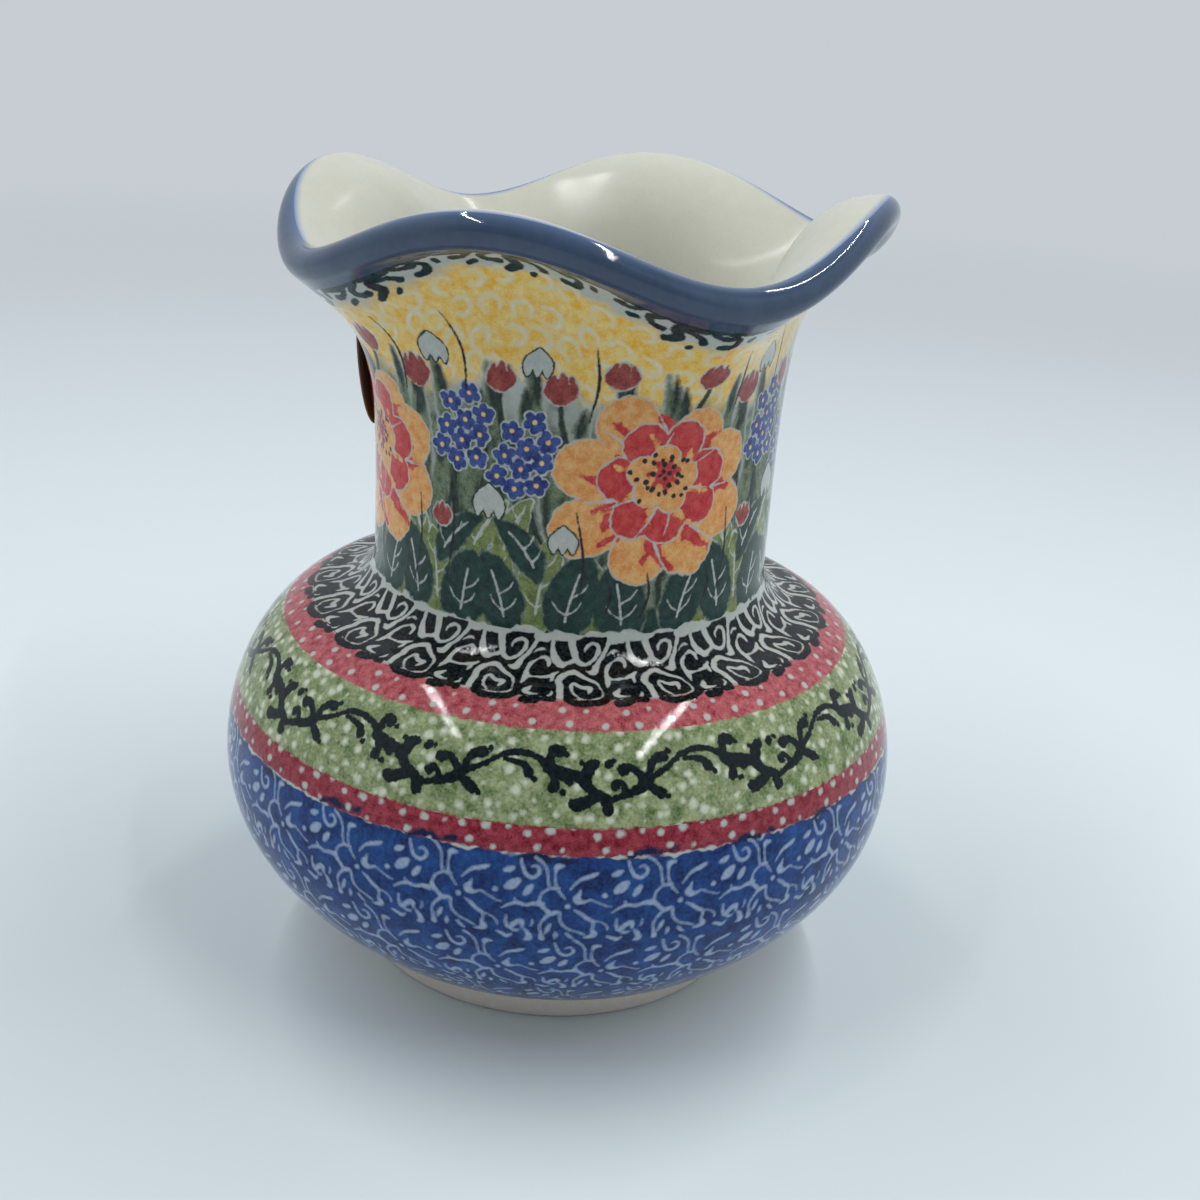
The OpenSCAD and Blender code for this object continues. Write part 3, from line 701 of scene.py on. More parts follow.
def clayMesh():
    # one closed skin: hollow, foot ring, outside, over the lip, down the inside to the floor
    around = roundAngles(coarseColumns)
    handles = mouthHandles(around)
    recess, floor = body["footRecess"], body["floorHeight"] - glaze
    hollow = [body["footTopRadius"] - body["footRingWidth"], recess]
    inner, outer = [body["footRadius"] - body["footRingWidth"], 0], [body["footRadius"], 0]
    foot = np.vstack([
        [[0.0, recess], [hollow[0] - edges["hollowShort"], recess]],
        roundedCorner([0, recess], hollow, inner, edges["hollowCorner"]),
        roundedCorner(hollow, inner, outer, edges["innerCorner"]),
        roundedCorner(inner, outer, sunk(profile[0], 0.0, glaze), edges["outerCorner"])])
    places = np.linspace(0, 4, rowsAcross["clay"])
    t = np.broadcast_to(np.linspace(0, 1, rowsAcross["clayMouth"]),
                        (coarseColumns, rowsAcross["clayMouth"]))
    path = joined(
        coarseColumns, foot, outside(places, glaze), sunk(handles, t[:, 1:], glaze),
        nose(handles, np.linspace(*mouth["clayTurns"], rowsAcross["clayLip"]), glaze),
        sunk(handles, t[:, ::-1], wall - glaze), inside(places[::-1], wall - glaze)[1:],
        np.array([[0.0, floor]]))
    return meshFromGrid("clay", turned(around, path), poles=True)


def linerMesh():
    # one closed skin: under the floor glaze and up against the clay, over the lip, down inside
    around = roundAngles(coarseColumns)
    handles = mouthHandles(around)
    up, down = (np.broadcast_to(np.linspace(*ends, rows), (coarseColumns, rows))[:, 1:]
                for ends, rows in (((0, 1), rowsAcross["mouthUnder"]),
                                   ((1, 0), rowsAcross["mouthInside"])))
    inner = inside(np.linspace(4, 0, rowsAcross["liner"]), wall)
    radii = np.array(edges["floorRings"])
    floor = np.stack([radii, np.interp(radii, [0, inner[-1][0]],
                                       [body["floorHeight"], inner[-1][1]])], 1)
    over = mouth["crestTurn"]
    hidden = joined(coarseColumns, floor[::-1] - [0, glaze],
                    inside(np.linspace(0, 4, rowsAcross["linerUnder"]), wall - glaze),
                    sunk(handles, up, wall - glaze),
                    nose(handles, np.linspace(mouth["linerTurn"], over, rowsAcross["lipUnder"]),
                         glaze))
    shown = joined(coarseColumns, nose(handles, np.linspace(over, 180, rowsAcross["lipOver"]), 0.0),
                   sunk(handles, down, wall), inner[1:], floor)
    lipRow = hidden.shape[1]
    along = np.cumsum(np.linalg.norm(np.diff(shown, axis=1), axis=2), axis=1)
    return meshFromGrid("liner", turned(around, np.concatenate([hidden, shown], axis=1)),
                        poles=True, sharpRows=(lipRow - 1, lipRow),
                        fields={"fromLip": np.pad(along, ((0, 0), (lipRow + 1, 0)))})


def lipMesh():
    # outer face from below the lip's edge over the roll, and its underside
    handles = mouthHandles(angles)
    length = mouthLengths(handles)[1][:, -1:]
    face = shareAtLength(handles, length
                         - mouth["lipBand"] * np.linspace(1, 0, rowsAcross["lipFace"]))
    roll = np.linspace(0, mouth["crestTurn"], rowsAcross["lipRoll"])
    outer = joined(columns, curveAt(handles, face), nose(handles, roll[1:], 0.0))
    under = joined(columns, sunk(handles, face[:, ::4], glaze),
                   nose(handles, roll[::3][1:], glaze))
    over = np.concatenate([np.zeros(rowsAcross["lipFace"]), roll[1:]])
    return coatMesh("lipGlaze", turned(angles, outer), turned(angles, under),
                    {"over": over[None, :]})


def add(tree, kind, inputs=None, **settings):
    # one shader node with its settings; an input takes a number, a colour or another's output
    node = tree.nodes.new("ShaderNode" + kind)
    for key, value in settings.items():
        setattr(node, key, value)
    for key, value in (inputs or {}).items():
        if isinstance(value, bpy.types.NodeSocket):
            tree.links.new(value, node.inputs[key])
        else:
            node.inputs[key].default_value = value
    return node


def maths(tree, operation, *values, clamp=False):
    # operation (values)
    return add(tree, "Math", dict(enumerate(values)), operation=operation,
               use_clamp=clamp).outputs[0]


def mixed(tree, factor, below, above):
    # below (1 - factor) + above factor
    return add(tree, "Mix", {0: factor, 6: below, 7: above}, data_type="RGBA").outputs[2]


def inMillimetres(tree):
    # Object coordinates * 1000
    where = add(tree, "TexCoord").outputs["Object"]
    return add(tree, "VectorMath", {0: where, "Scale": 1 / millimetre},
               operation="SCALE").outputs[0]


def noise(tree, where, scale, detail=2.0):
    # clouds of 0 to 1, scale of them to a millimetre
    return add(tree, "TexNoise", {"Vector": where, "Scale": scale,
                                  "Detail": detail}).outputs["Fac"]


def emptyTree(owner):
    # the cleared node tree of a material or world
    owner.use_nodes = True
    owner.node_tree.nodes.clear()
    return owner.node_tree


def shaderGroup(name, inputs, output):
    # an empty group with inputs {name: start value} and one output (name, kind)
    tree = bpy.data.node_groups.new(name, "ShaderNodeTree")
    for key, value in inputs.items():
        kind = "NodeSocketColor" if isinstance(value, tuple) else "NodeSocketFloat"
        tree.interface.new_socket(key, in_out="INPUT", socket_type=kind).default_value = value
    tree.interface.new_socket(output[0], in_out="OUTPUT", socket_type="NodeSocket" + output[1])
    return tree, tree.nodes.new("NodeGroupInput").outputs, tree.nodes.new("NodeGroupOutput")


def tone(red, green, blue):
    # screen value 0 to 255 to light: ((c / 255 + 0.055) / 1.055) ^ 2.4, and full opacity
    return tuple(((c / 255 + 0.055) / 1.055) ** 2.4 for c in (red, green, blue)) + (1.0,)


def makePaintEdge():
    # mask = 0.5 - (distance + wander (2 noise - 1)) / softness, held in 0 to 1
    tree, given, result = shaderGroup(
        "paintEdge", {"Distance": 0.0, "Softness": 0.15, "Wander": 0.1, "Grain": 2.0},
        ("Mask", "Float"))
    where = inMillimetres(tree)
    swing = maths(tree, "MULTIPLY_ADD", noise(tree, where, given["Grain"], 2.0), 2.0, -1.0)
    distance = maths(tree, "MULTIPLY_ADD", swing, given["Wander"], given["Distance"])
    share = maths(tree, "DIVIDE", distance, given["Softness"])
    tree.links.new(maths(tree, "SUBTRACT", 0.5, share, clamp=True), result.inputs["Mask"])
    return tree


def makeInkWash():
    # thin (1 - k) + full k, k = fullness + bite (0.6 cloud + 0.4 speck - 0.5), held in 0 to 1
    tree, given, result = shaderGroup(
        "inkWash", {"Full": (0.1, 0.1, 0.1, 1.0), "Thin": (0.5, 0.5, 0.5, 1.0), "Grain": 1.0,
                    "Bite": 2.0, "Fullness": 0.5}, ("Colour", "Color"))
    where = inMillimetres(tree)
    cloud = noise(tree, where, given["Grain"], 3.0)
    speck = noise(tree, where, maths(tree, "MULTIPLY", given["Grain"], 5.0), 2.0)
    both = maths(tree, "MULTIPLY_ADD", speck, 0.4, maths(tree, "MULTIPLY", cloud, 0.6))
    k = maths(tree, "MULTIPLY_ADD", maths(tree, "SUBTRACT", both, 0.5), given["Bite"],
              given["Fullness"], clamp=True)
    tree.links.new(mixed(tree, k, given["Thin"], given["Full"]), result.inputs["Colour"])
    return tree


def makeGlazeSkin():
    # normal of a skin with slow waves and fine pores: height = wave + pores * pore
    tree, given, result = shaderGroup("glazeSkin", {"Ripple": 0.3, "Pores": 0.15},
                                      ("Normal", "Vector"))
    where = inMillimetres(tree)
    wave = noise(tree, where, 0.14, 1.0)
    pore = maths(tree, "MULTIPLY", noise(tree, where, 2.4, 2.0), given["Pores"])
    height = maths(tree, "ADD", wave, pore)
    bump = add(tree, "Bump", {"Strength": given["Ripple"], "Distance": 0.4 * millimetre,
                              "Height": height})
    tree.links.new(bump.outputs["Normal"], result.inputs["Normal"])
    return tree


# length up the belly at which each band starts, from the edge of the blue
bandStarts = {name: lengthAtHeight(height) - lengthAtHeight(bandEdges["blue"])
              for name, height in bandEdges.items()}
groups = {"paintEdge": makePaintEdge(), "inkWash": makeInkWash(), "glazeSkin": makeGlazeSkin()}


def grouped(tree, name, inputs):
    # the one output of a group whose inputs are set or linked
    return add(tree, "Group", inputs, node_tree=groups[name]).outputs[0]


def field(tree, name):
    # the number that the mesh keeps at each point under this name
    return add(tree, "Attribute", attribute_name=name).outputs["Fac"]


def wash(tree, full, thin, grain, bite, fullness=0.5):
    # thin (1 - k) + full k over clouds k
    return grouped(tree, "inkWash", {"Full": tone(*full), "Thin": tone(*thin), "Grain": grain,
                                     "Bite": bite, "Fullness": fullness})


def laid(tree, distance, below, above, softness, wander, grain):
    # below (1 - mask) + above mask, where the mask is 1 inside an edge that wavers
    mask = grouped(tree, "paintEdge", {"Distance": distance, "Softness": softness,
                                       "Wander": wander, "Grain": grain})
    return mixed(tree, mask, below, above)


def painted(tree, below, above, name, softness, wander, grain, margin=0):
    # one painted layer over another inside the strokes of a field, or up to a margin outside
    distance = field(tree, name)
    if margin:
        distance = maths(tree, "SUBTRACT", distance, margin)
    return laid(tree, distance, below, above, softness, wander, grain)


def newMaterial(name, colour, roughness, ripple=0.14, pores=0.18, ior=1.3):
    # one glossy or matt skin; colour is a function of the node tree that gives the colour's output
    material = bpy.data.materials.new(name)
    tree = emptyTree(material)
    shader = add(tree, "BsdfPrincipled", {
        "Base Color": colour(tree), "Roughness": roughness, "IOR": ior,
        "Normal": grouped(tree, "glazeSkin", {"Ripple": ripple, "Pores": pores})})
    tree.links.new(shader.outputs[0], add(tree, "OutputMaterial").inputs["Surface"])
    return material


# each paint where it lies full and where it lies thin, as seen in daylight, 0 to 255
paint = {
    "white": ((194, 198, 192), (172, 179, 174)), "line": ((176, 190, 205), (116, 142, 186)),
    "whiteGreen": ((214, 218, 202), (192, 200, 174)), "cobalt": ((3, 26, 78), (34, 84, 154)),
    "red": ((112, 24, 40), (166, 72, 84)), "rose": ((146, 52, 64), (196, 114, 118)),
    "sage": ((84, 108, 62), (164, 174, 134)), "vine": ((12, 18, 22), (30, 40, 44)),
    "charcoal": ((6, 10, 12), (42, 50, 52)), "lip": ((56, 72, 94), (70, 87, 112)),
    "ivory": ((200, 200, 187), (190, 190, 177)), "clay": ((242, 231, 221), (230, 217, 205)),
    "yellow": ((238, 178, 42), (238, 216, 146)), "mist": ((72, 88, 72), (140, 152, 132)),
    "stem": ((66, 84, 62), (126, 140, 112)), "tip": ((22, 34, 32), (58, 74, 64)),
    "teal": ((16, 44, 42), (44, 74, 66)), "olive": ((86, 104, 52), (140, 152, 96)),
    "orange": ((216, 136, 66), (230, 184, 122)), "crimson": ((182, 32, 46), (208, 84, 78)),
    "brick": ((126, 42, 46), (170, 84, 76)), "bell": ((28, 44, 108), (70, 92, 158)),
    "mark": ((26, 20, 30), (52, 44, 52)), "tuft": ((16, 36, 42), (44, 68, 72)),
    "navy": ((8, 14, 44), (24, 36, 84)), "cream": ((230, 224, 196), (218, 206, 164)),
    "label": ((104, 78, 68), (128, 100, 88)),
}
# where the slate thins over the lip, where it has run into the ivory, and the ivory's specks
tinge = {"lip": (84, 103, 134), "ivory": (112, 134, 174), "speck": (182, 180, 166)}


def pair(tree, name, grain, bite=2.0, fullness=0.5):
    # a paint's wash from thin to full
    return wash(tree, *paint[name], grain, bite, fullness)


def bandGround(tree):
    # cobalt, red, green, rose and white by length up the belly, with wavering edges
    up = field(tree, "up")
    colour = pair(tree, "cobalt", 0.35, 3.0, 0.55)
    # band, paint, lift of its edge, softness, wander and grain of the edge, grain of the paint
    for start, ink, lift, softness, wander, grain, cloud in (
            ("lowerDots", "white", -0.1, 0.3, 1.7, 0.3, 0.8),
            ("lowerDots", "red", 0.0, 0.3, 0.6, 0.7, 0.9),
            ("vine", "sage", 0.1, 0.35, 0.5, 0.9, 0.45),
            ("upperDots", "rose", 0.0, 0.35, 0.55, 0.8, 0.9),
            ("scroll", "white", 0.8, 0.5, 0.6, 0.7, 0.8)):
        distance = maths(tree, "SUBTRACT", bandStarts[start] + lift, up)
        colour = laid(tree, distance, colour, pair(tree, ink, cloud, 3.6), softness, wander, grain)
    return colour


def touchedGround(tree):
    # bands with the navy tips of leaves where the red meets the blue
    return painted(tree, bandGround(tree), pair(tree, "navy", 1.5), "touches", 0.5, 0.6, 1.2)


def blueColour(tree):
    # pale lines between the leaves
    return painted(tree, touchedGround(tree), pair(tree, "line", 1.5), "lines", 0.36, 0.12, 1.8)


def lowDotColour(tree):
    # white dots on the lower stripe
    return painted(tree, touchedGround(tree), pair(tree, "white", 1.5), "dots", 0.4, 0.35, 1.2)


# radius at which the scroll prints are to scale, and where above their stripe the charcoal starts
# and the white lines end
scrolls = {"radius": 39.0, "start": 1.0, "top": 12.25}


def scrollOver(tree, below):
    # charcoal over what lies below, with its white lines only from where its own ground starts
    printed = painted(tree, below, pair(tree, "charcoal", 2.0, 5.0, 0.75), "print", 0.2, 0.3, 1.4)
    lined = painted(tree, printed, pair(tree, "white", 1.2), "lines", 0.2, 0.2, 1.5, -0.07)
    above = maths(tree, "GREATER_THAN", field(tree, "up"), bandStarts["scroll"] + scrolls["start"])
    return mixed(tree, above, printed, lined)


def highDotColour(tree):
    # white dots on the upper stripe, under the scrolls' feet
    dotted = painted(tree, bandGround(tree), pair(tree, "white", 1.5), "dots", 0.3, 0.25, 1.2)
    return scrollOver(tree, dotted)


def vineColour(tree):
    # pale spots in the sponged green, and the vine over them
    spotted = painted(tree, bandGround(tree), pair(tree, "whiteGreen", 1.5), "spots", 0.6, 0.5, 1.1)
    return painted(tree, spotted, pair(tree, "vine", 1.6, 4.0), "vine", 0.2, 0.32, 1.7)


def scrollColour(tree):
    # the scrolls on their own ground
    return scrollOver(tree, bandGround(tree))


def borderColour(tree):
    # the border's layers, each over the ones before it, on white
    colour = pair(tree, "white", 0.6)
    # field, paint, margin outside the strokes, softness, wander and grain of its edge
    layers = [("wash", "yellow", 0, 2.4, 3.0, 0.3), ("commas", "cream", 0, 0.7, 0.5, 1.0),
              ("mist", "mist", 0, 5.0, 7.0, 0.14), ("blades", "white", 0.3, 0.5, 0.5, 0.8),
              ("blades", "stem", 0, 0.7, 0.6, 0.8), ("shades", "tip", 0, 0.9, 0.8, 0.7),
              ("tips", "tip", 0, 0.7, 0.4, 1.2), ("stems", "tip", 0, 0.3, 0.25, 1.2),
              ("thicket", "teal", 0, 1.5, 3.5, 0.25), ("paleLeaves", "white", 0.2, 0.25, 0.5, 0.6),
              ("paleLeaves", "olive", 0, 0.3, 0.55, 0.7),
              ("paleVeins", "white", 0, 0.18, 0.14, 1.6),
              ("darkLeaves", "mist", 0.14, 0.3, 0.6, 0.5), ("darkLeaves", "teal", 0, 0.4, 0.7, 0.6),
              ("darkVeins", "white", 0, 0.18, 0.18, 1.4),
              ("outer", "white", 0.22, 0.25, 0.6, 0.6), ("outer", "orange", 0, 0.3, 0.7, 0.6),
              ("flush", "crimson", 0, 0.3, 1.1, 0.7), ("gaps", "white", 0, 0.22, 0.25, 1.2),
              ("middle", "white", 0.25, 0.2, 0.5, 0.7), ("middle", "crimson", 0, 0.25, 0.6, 0.7),
              ("glow", "orange", 0, 0.3, 0.9, 0.8), ("folds", "white", 0, 0.2, 0.2, 1.2),
              ("inner", "white", 0.2, 0.2, 0.35, 1.0), ("inner", "orange", 0, 0.25, 0.45, 0.9),
              ("heart", "crimson", 0, 0.25, 0.4, 1.1), ("seeds", "mark", 0, 0.16, 0.25, 1.6),
              ("buds", "white", 0.2, 0.2, 0.3, 1.0), ("buds", "brick", 0, 0.25, 0.45, 0.9),
              ("small", "white", 0.2, 0.2, 0.2, 1.2), ("small", "bell", 0, 0.18, 0.22, 1.4),
              ("eyes", "yellow", 0, 0.2, 0.12, 1.5), ("bells", "tip", 0.26, 0.2, 0.25, 1.6),
              ("bells", "white", 0, 0.15, 0.2, 1.5), ("marks", "mark", 0, 0.18, 0.16, 1.4),
              ("tufts", "tuft", 0, 0.25, 0.3, 1.4), ("foot", "white", 0, 0.25, 1.6, 0.3)]
    for name, ink, margin, softness, wander, grain in layers:
        colour = painted(tree, colour, pair(tree, ink, 0.8, 3.6), name, softness, wander, grain,
                         margin)
    return colour


def between(tree, value, start, end, ease="LINEAR"):
    # (value - start) / (end - start), held in 0 to 1, and eased at both ends by SMOOTHSTEP
    return add(tree, "MapRange", {"Value": value, "From Min": start, "From Max": end},
               interpolation_type=ease).outputs[0]


def lipColour(tree):
    # slate that thins to blue over the roll: share = (degrees from 90 to its end)^2
    share = maths(tree, "POWER", between(tree, field(tree, "over"), 90.0, mouth["crestTurn"]), 2.0)
    return mixed(tree, share, pair(tree, "lip", 0.2), tone(*tinge["lip"]))


def ivoryColour(tree):
    # ivory with fine specks where clouds pass 0.71, tinged blue for 1.2 mm from the lip
    specks = maths(tree, "GREATER_THAN", noise(tree, inMillimetres(tree), 2.6), 0.71)
    specked = mixed(tree, specks, pair(tree, "ivory", 0.4, 1.5), tone(*tinge["speck"]))
    fromLip = field(tree, "fromLip")
    share = maths(tree, "MULTIPLY", maths(tree, "POWER", between(tree, fromLip, 1.2, 0.0), 1.5),
                  maths(tree, "GREATER_THAN", fromLip, 0.001))
    return mixed(tree, share, specked, tone(*tinge["ivory"]))


def clayColour(tree):
    # bare fired clay
    return pair(tree, "clay", 0.9)


def labelColour(tree):
    # brown paper
    return pair(tree, "label", 1.5)


materials = {
    "blue": newMaterial("blueGround", blueColour, 0.06),
    "lowDots": newMaterial("redDots", lowDotColour, 0.06),
    "highDots": newMaterial("roseDots", highDotColour, 0.06),
    "vine": newMaterial("greenVine", vineColour, 0.06),
    "scroll": newMaterial("charcoalScrolls", scrollColour, 0.06, pores=0.35),
    "border": newMaterial("flowerBorder", borderColour, 0.07),
    "lip": newMaterial("slateLip", lipColour, 0.06, ripple=0.12, ior=1.42),
    "ivory": newMaterial("ivoryGlaze", ivoryColour, 0.19, pores=0.1, ior=1.2),
    "clay": newMaterial("bareClay", clayColour, 0.75, ripple=0.5, pores=0.6, ior=1.45),
    "label": newMaterial("brownPaper", labelColour, 0.7, ripple=0.1),
}

print("vase: painted coats")
bandNames = list(bandEdges)
bands = {name: roundBand(bandEdges[name], bandEdges[above], rowsAcross[name],
                         edges["blueEdge"] if name == "blue" else 0.0)
         for name, above in zip(bandNames, bandNames[1:])}
for name, band in bands.items():
    band["up"] = band["lengths"] + bandStarts[name]  # from the edge of the blue

# each row of leaf prints: the height of its middle and how far on its first print stands
leafRows = [(31.8, -0.395), (18.4, -0.76), (5.1, -0.605)]

# dots of one repeat of each stripe, y up from its lower edge, and leaf tips over the lower one
lowDots = [spot(0, 2.9, 0.47), spot(3.2, 3.25, 0.5, 0.3), spot(6.2, 3.6, 0.36), spot(1.2, 1.0, 0.5),
           spot(4.6, 0.5, 0.32)]
highDots = [spot(0, 3.1, 0.5), spot(1.3, 1.0, 0.55), spot(6.2, 1.1, 0.5), spot(3.3, 3.3, 0.36)]
leafTips = [brush((4.9, 5.3, 0.3), (6.6, 5.8, 0.5), (8.2, 5.7, 0.55), (9.6, 5.3, 0.3)),
            brush((10.8, 5.5, 0.35), (11.8, 5.6, 0.45))]


def leafField(band, row, strokes, name):
    # distance to one row of leaf prints, to scale at the widest radius
    middle, shift = leafRows[row]
    return stamped(band["up"] - middle, body["bellyRadius"], strokes, name, row, shift)


def touches(band):
    # leaf tips along the edge between the red and the blue, in step with the highest leaf prints
    return leafField(band, 0, leafTips, "leafTips")


def blueFields(band):
    # least distance to the rows of leaf prints
    rows = [leafField(band, row, leafLines(), "leaves") for row in range(len(leafRows))]
    return {"up": band["up"], "lines": np.minimum.reduce(rows), "touches": touches(band)}


def scrollFields(band):
    # charcoal from its start above the stripe's edge, feet below it, and lines up to their top
    above = band["up"] - bandStarts["scroll"]
    feet, lines = (stamped(above, scrolls["radius"], strokes, "scrolls")
                   for strokes in (scrollFeet(), scrollLines()))
    return {"up": band["up"], "print": np.minimum(feet, scrolls["start"] - above),
            "lines": np.minimum(lines, scrolls["top"] - above)}


def dotFields(band, strokes, name):
    # distance to the dots of a stripe
    return {"up": band["up"], "dots": stamped(band["lengths"], band["radius"], strokes, name)}


def vineFields(band):
    # distance to the vine, and to pale spots 2.1 mm apart and up to 0.7 mm in radius
    return {"up": band["up"],
            "vine": stamped(band["lengths"], band["radius"], vinePrint(), "vine"),
            "spots": jitteredSpots(band["lengths"], band["radius"], 2.1, 0.7, 0.36, 6)}


lowBand, highBand = bands["lowerDots"], bands["upperDots"]
bandFields = {
    "blue": blueFields(bands["blue"]),
    "lowerDots": {**dotFields(lowBand, lowDots, "lowDots"), "touches": touches(lowBand)},
    "vine": vineFields(bands["vine"]),
    "upperDots": {**dotFields(highBand, highDots, "highDots"), **scrollFields(highBand)},
    "scroll": scrollFields(bands["scroll"]),
}
half = rowsAcross["blue"] // 2
# piece, band, first and last row, material, slot and node
for name, band, start, end, material, slot, node in (
        ("blueGroundLow", "blue", 0, half + 1, "blue", "blue_ground_glaze", "blue_ground"),
        ("blueGroundHigh", "blue", half, None, "blue", "blue_ground_glaze", "blue_ground"),
        ("lowerDotBand", "lowerDots", 0, None, "lowDots", "red_dot_glaze", "lower_dot_band"),
        ("vineBand", "vine", 0, None, "vine", "green_vine_glaze", "vine_band"),
        ("upperDotBand", "upperDots", 0, None, "highDots", "red_dot_glaze", "upper_dot_band"),
        ("scrollBand", "scroll", 0, None, "scroll", "charcoal_scroll_glaze", "scroll_band")):
    bandPiece(name, bands[band], start, end or rowsAcross[band], bandFields[band],
              materials[material], [node])

print("vase: flower border")


def borderBand():
    # rows up the neck and then along each angle's own curve to below the lip
    neck = roundBand(bandEdges["border"], body["mouthHeight"], rowsAcross["neck"])
    handles = mouthHandles(angles)
    run = mouthLengths(handles)[1][:, -1:] - mouth["lipBand"]
    mouthUp = run * np.linspace(0, 1, rowsAcross["mouth"] + 1)[1:]
    t = shareAtLength(handles, mouthUp)
    neckTop = float(neck["lengths"].max())
    outer = joined(columns, neck["outer"], curveAt(handles, t))
    up = np.concatenate([np.repeat(neck["lengths"], columns, axis=0), neckTop + mouthUp], axis=1)
    return {"outer": outer, "under": joined(columns, neck["under"], sunk(handles, t, glaze)),
            "up": up, "fromLip": neckTop + run - up, "radius": outer[..., 0]}


def borderFields(band):
    # distances to the border's strokes, and lengths from the heights at which its washes end
    up, fromLip, radius = band["up"], band["fromLip"], band["radius"]
    tufts = [border["tuftSize"] * tuft for tuft in lipTufts()]
    return {
        **{key: stamped(up, radius, strokes, "border") for key, strokes in borderPaint().items()},
        "wash": np.maximum(fromLip - border["washDepth"], border["washTop"] - fromLip),
        "commas": washCommas(fromLip, radius),
        "mist": up - border["mistHeight"],
        "thicket": up - border["thicketHeight"],
        "foot": up - border["footHeight"],
        "tufts": stamped(border["tuftHeight"] - fromLip, radius, tufts, "tufts"),
    }


borderGrid = borderBand()
gridFields = borderFields(borderGrid)
rows = rowsAcross["neck"] + rowsAcross["mouth"]
for name, start, end, nodes in (
        ("borderLow", 0, rows // 3, ["neck_panel", "mouth_panel"]),
        ("borderMiddle", rows // 3, 2 * rows // 3, ["mouth_panel"]),
        ("borderHigh", 2 * rows // 3, rows - 1, ["mouth_panel"])):
    bandPiece(name, borderGrid, start, end + 1, gridFields, materials["border"],
              nodes)

print("vase: lip, inside and clay")
addPiece("lipGlaze", lipMesh(), materials["lip"], ["lip_band"])
addPiece("liner", linerMesh(), materials["ivory"], ["liner_body", "liner_mouth"])
addPiece("clay", clayMesh(), materials["clay"],
         ["clay_bowl", "clay_shoulder", "clay_neck", "clay_mouth"])
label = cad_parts["paper_label"]
label.data.materials.clear()
label.data.materials.append(materials["label"])

print("vase: floor, light and camera")
scene = bpy.context.scene
# lengths in metres, tones as seen, lights as numbers; the floor fades over farFade, frontTurn is
# the side that the camera and the tent's opening are on, in degrees, and the other fades are the
# cosines from a direction at which its dark patch starts and is full
stage = {"floorRadius": 3.0, "floorSides": 96, "farFade": (0.12, 0.95),
         "floorTone": (216, 225, 228), "thinTone": (213, 222, 225), "farTone": (199, 205, 210),
         "frontTurn": 16.7, "wallLight": (0.72, 0.78, 0.83), "openLight": (0.12, 0.13, 0.14),
         "openTilt": 0.1, "openFade": (0.45, 0.80), "roofFade": (0.70, 0.82)}
frontTurn = math.radians(stage["frontTurn"])


def floorMesh():
    # a flat disc: points (cos a, sin a, 0) radius
    a = roundAngles(stage["floorSides"])
    rim = np.stack([np.cos(a), np.sin(a), 0 * a], 1) * stage["floorRadius"]
    mesh = bpy.data.meshes.new("floor")
    mesh.from_pydata(rim.tolist(), [], [list(range(len(a)))])
    return mesh


def floorMaterial():
    # pale table that fades with distance into the far wall's own tone
    material = bpy.data.materials.new("paleTable")
    tree = emptyTree(material)
    where = add(tree, "TexCoord").outputs["Object"]
    far = add(tree, "VectorMath", {0: where}, operation="LENGTH").outputs["Value"]
    grain = wash(tree, stage["floorTone"], stage["thinTone"], 0.02, 1.0)
    near = add(tree, "BsdfPrincipled", {"Base Color": grain, "Roughness": 0.6,
                                        "Specular IOR Level": 0.2})
    flat = add(tree, "Emission", {"Color": tone(*stage["farTone"])})
    share = between(tree, far, *stage["farFade"], "SMOOTHSTEP")
    both = add(tree, "MixShader", {0: share, 1: near.outputs[0], 2: flat.outputs[0]})
    tree.links.new(both.outputs[0], add(tree, "OutputMaterial").inputs["Surface"])
    return material


floor = bpy.data.objects.new("floor", floorMesh())
scene.collection.objects.link(floor)
floor.data.materials.append(floorMaterial())

scene.world = bpy.data.worlds.new("softRoom")
tree = emptyTree(scene.world)
rays = add(tree, "LightPath").outputs
mirrored = maths(tree, "MAXIMUM", rays["Is Glossy Ray"], rays["Is Transmission Ray"])
seen = maths(tree, "MAXIMUM", rays["Is Camera Ray"], mirrored)
looking = add(tree, "TexCoord").outputs["Generated"]


def darkSide(direction, fade):
    # 0 to 1 as the cosine between a look and a direction goes through a fade
    towards = add(tree, "VectorMath", {0: looking, 1: direction}, operation="DOT_PRODUCT")
    return between(tree, towards.outputs["Value"], *fade, "SMOOTHSTEP")


# pale walls, dark where the tent is open to the front and in its roof, except to the camera
openSide = darkSide((math.sin(frontTurn), -math.cos(frontTurn), stage["openTilt"]),
                    stage["openFade"])
roof = darkSide((0.0, 0.0, 1.0), stage["roofFade"])
walls = mixed(tree, seen, stage["wallLight"] + (1.0,), tone(*stage["farTone"]))
dark = maths(tree, "SUBTRACT", maths(tree, "MAXIMUM", openSide, roof), rays["Is Camera Ray"],
             clamp=True)
ground = add(tree, "Background", {
    "Color": mixed(tree, dark, walls, stage["openLight"] + (1.0,))})
tree.links.new(ground.outputs[0], add(tree, "OutputWorld").inputs["Surface"])

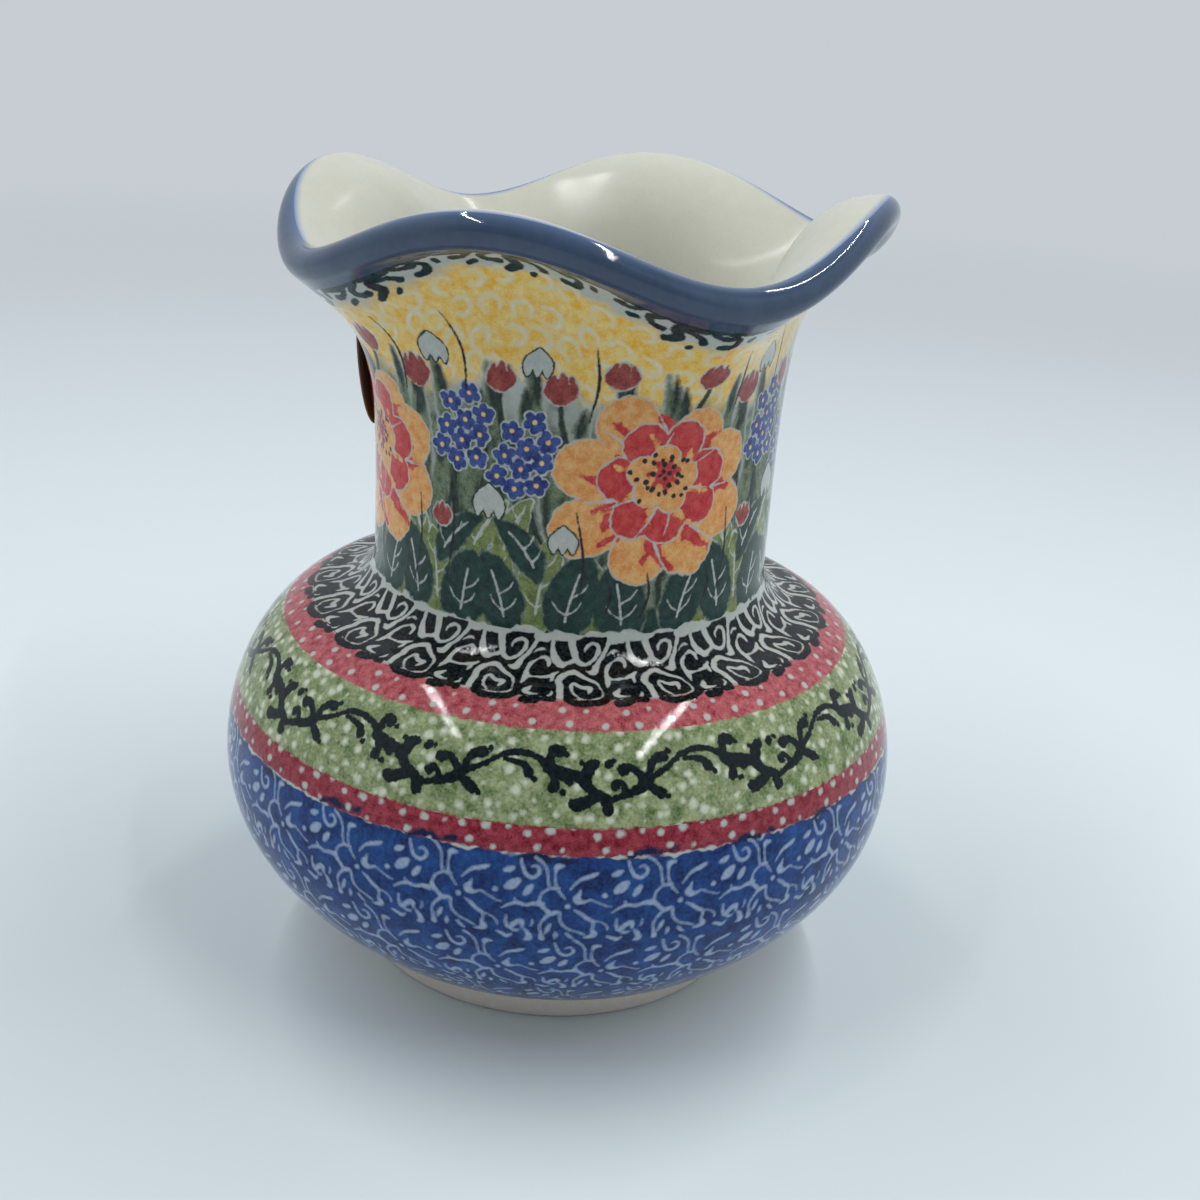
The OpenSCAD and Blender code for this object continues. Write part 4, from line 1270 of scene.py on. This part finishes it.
# a bright strip along each side of the tent's roof: the strips' ends as seen from the open side,
# right and back from the pot in metres, and radiance (1 is a white wall in daylight)
tent = {"height": 0.70, "stripWidth": 0.008,
        "strips": {"leftStrip": ((-0.41, -0.42), (-0.26, 0.38), 127.0),
                   "rightStrip": ((0.35, -0.50), (0.25, 0.36), 158.0)}}


def addStrip(name, front, back, radiance):
    # a long lamp that faces down; power = radiance pi area
    run = np.subtract(back, front)
    x, y = np.add(front, back) / 2
    data = bpy.data.lights.new(name, "AREA")
    data.shape = "RECTANGLE"
    data.size, data.size_y = tent["stripWidth"], float(np.hypot(*run))
    data.energy = radiance * math.pi * data.size * data.size_y
    strip = bpy.data.objects.new(name, data)
    scene.collection.objects.link(strip)
    c, s = math.cos(frontTurn), math.sin(frontTurn)
    strip.location = (x * c - y * s, x * s + y * c, tent["height"])
    strip.rotation_euler = (0, 0, frontTurn - math.atan2(run[0], run[1]))


for name, strip in tent["strips"].items():
    addStrip(name, *strip)

# the photograph's own view: lens, distance and height, and turn, tip and roll in degrees
view = {"lens": 47.17, "sensor": 36.0, "distance": 0.2355, "height": 0.1518,
        "yaw": 1.283, "pitch": 21.788, "roll": -3.825}


def addCamera():
    # ahead = (sin yaw cos pitch, cos yaw cos pitch, -sin pitch), rolled and then turned round
    yaw, pitch, roll = (math.radians(view[key]) for key in ("yaw", "pitch", "roll"))
    ahead = np.array([math.sin(yaw) * math.cos(pitch), math.cos(yaw) * math.cos(pitch),
                      -math.sin(pitch)])
    right = np.array([math.cos(yaw), -math.sin(yaw), 0.0])
    down = np.cross(ahead, right)
    across = math.cos(roll) * right + math.sin(roll) * down
    below = math.cos(roll) * down - math.sin(roll) * right
    c, s = math.cos(frontTurn), math.sin(frontTurn)
    turnRound = np.array([[c, -s, 0], [s, c, 0], [0, 0, 1]])
    data = bpy.data.cameras.new("camera")
    data.lens, data.sensor_width = view["lens"], view["sensor"]
    camera = bpy.data.objects.new("camera", data)
    scene.collection.objects.link(camera)
    matrix = Matrix((turnRound @ np.stack([across, -below, -ahead], 1)).tolist()).to_4x4()
    matrix.translation = turnRound @ [0, -view["distance"], view["height"]]
    camera.matrix_world = matrix
    return camera


scene.camera = addCamera()
scene.view_settings.view_transform = "Standard"
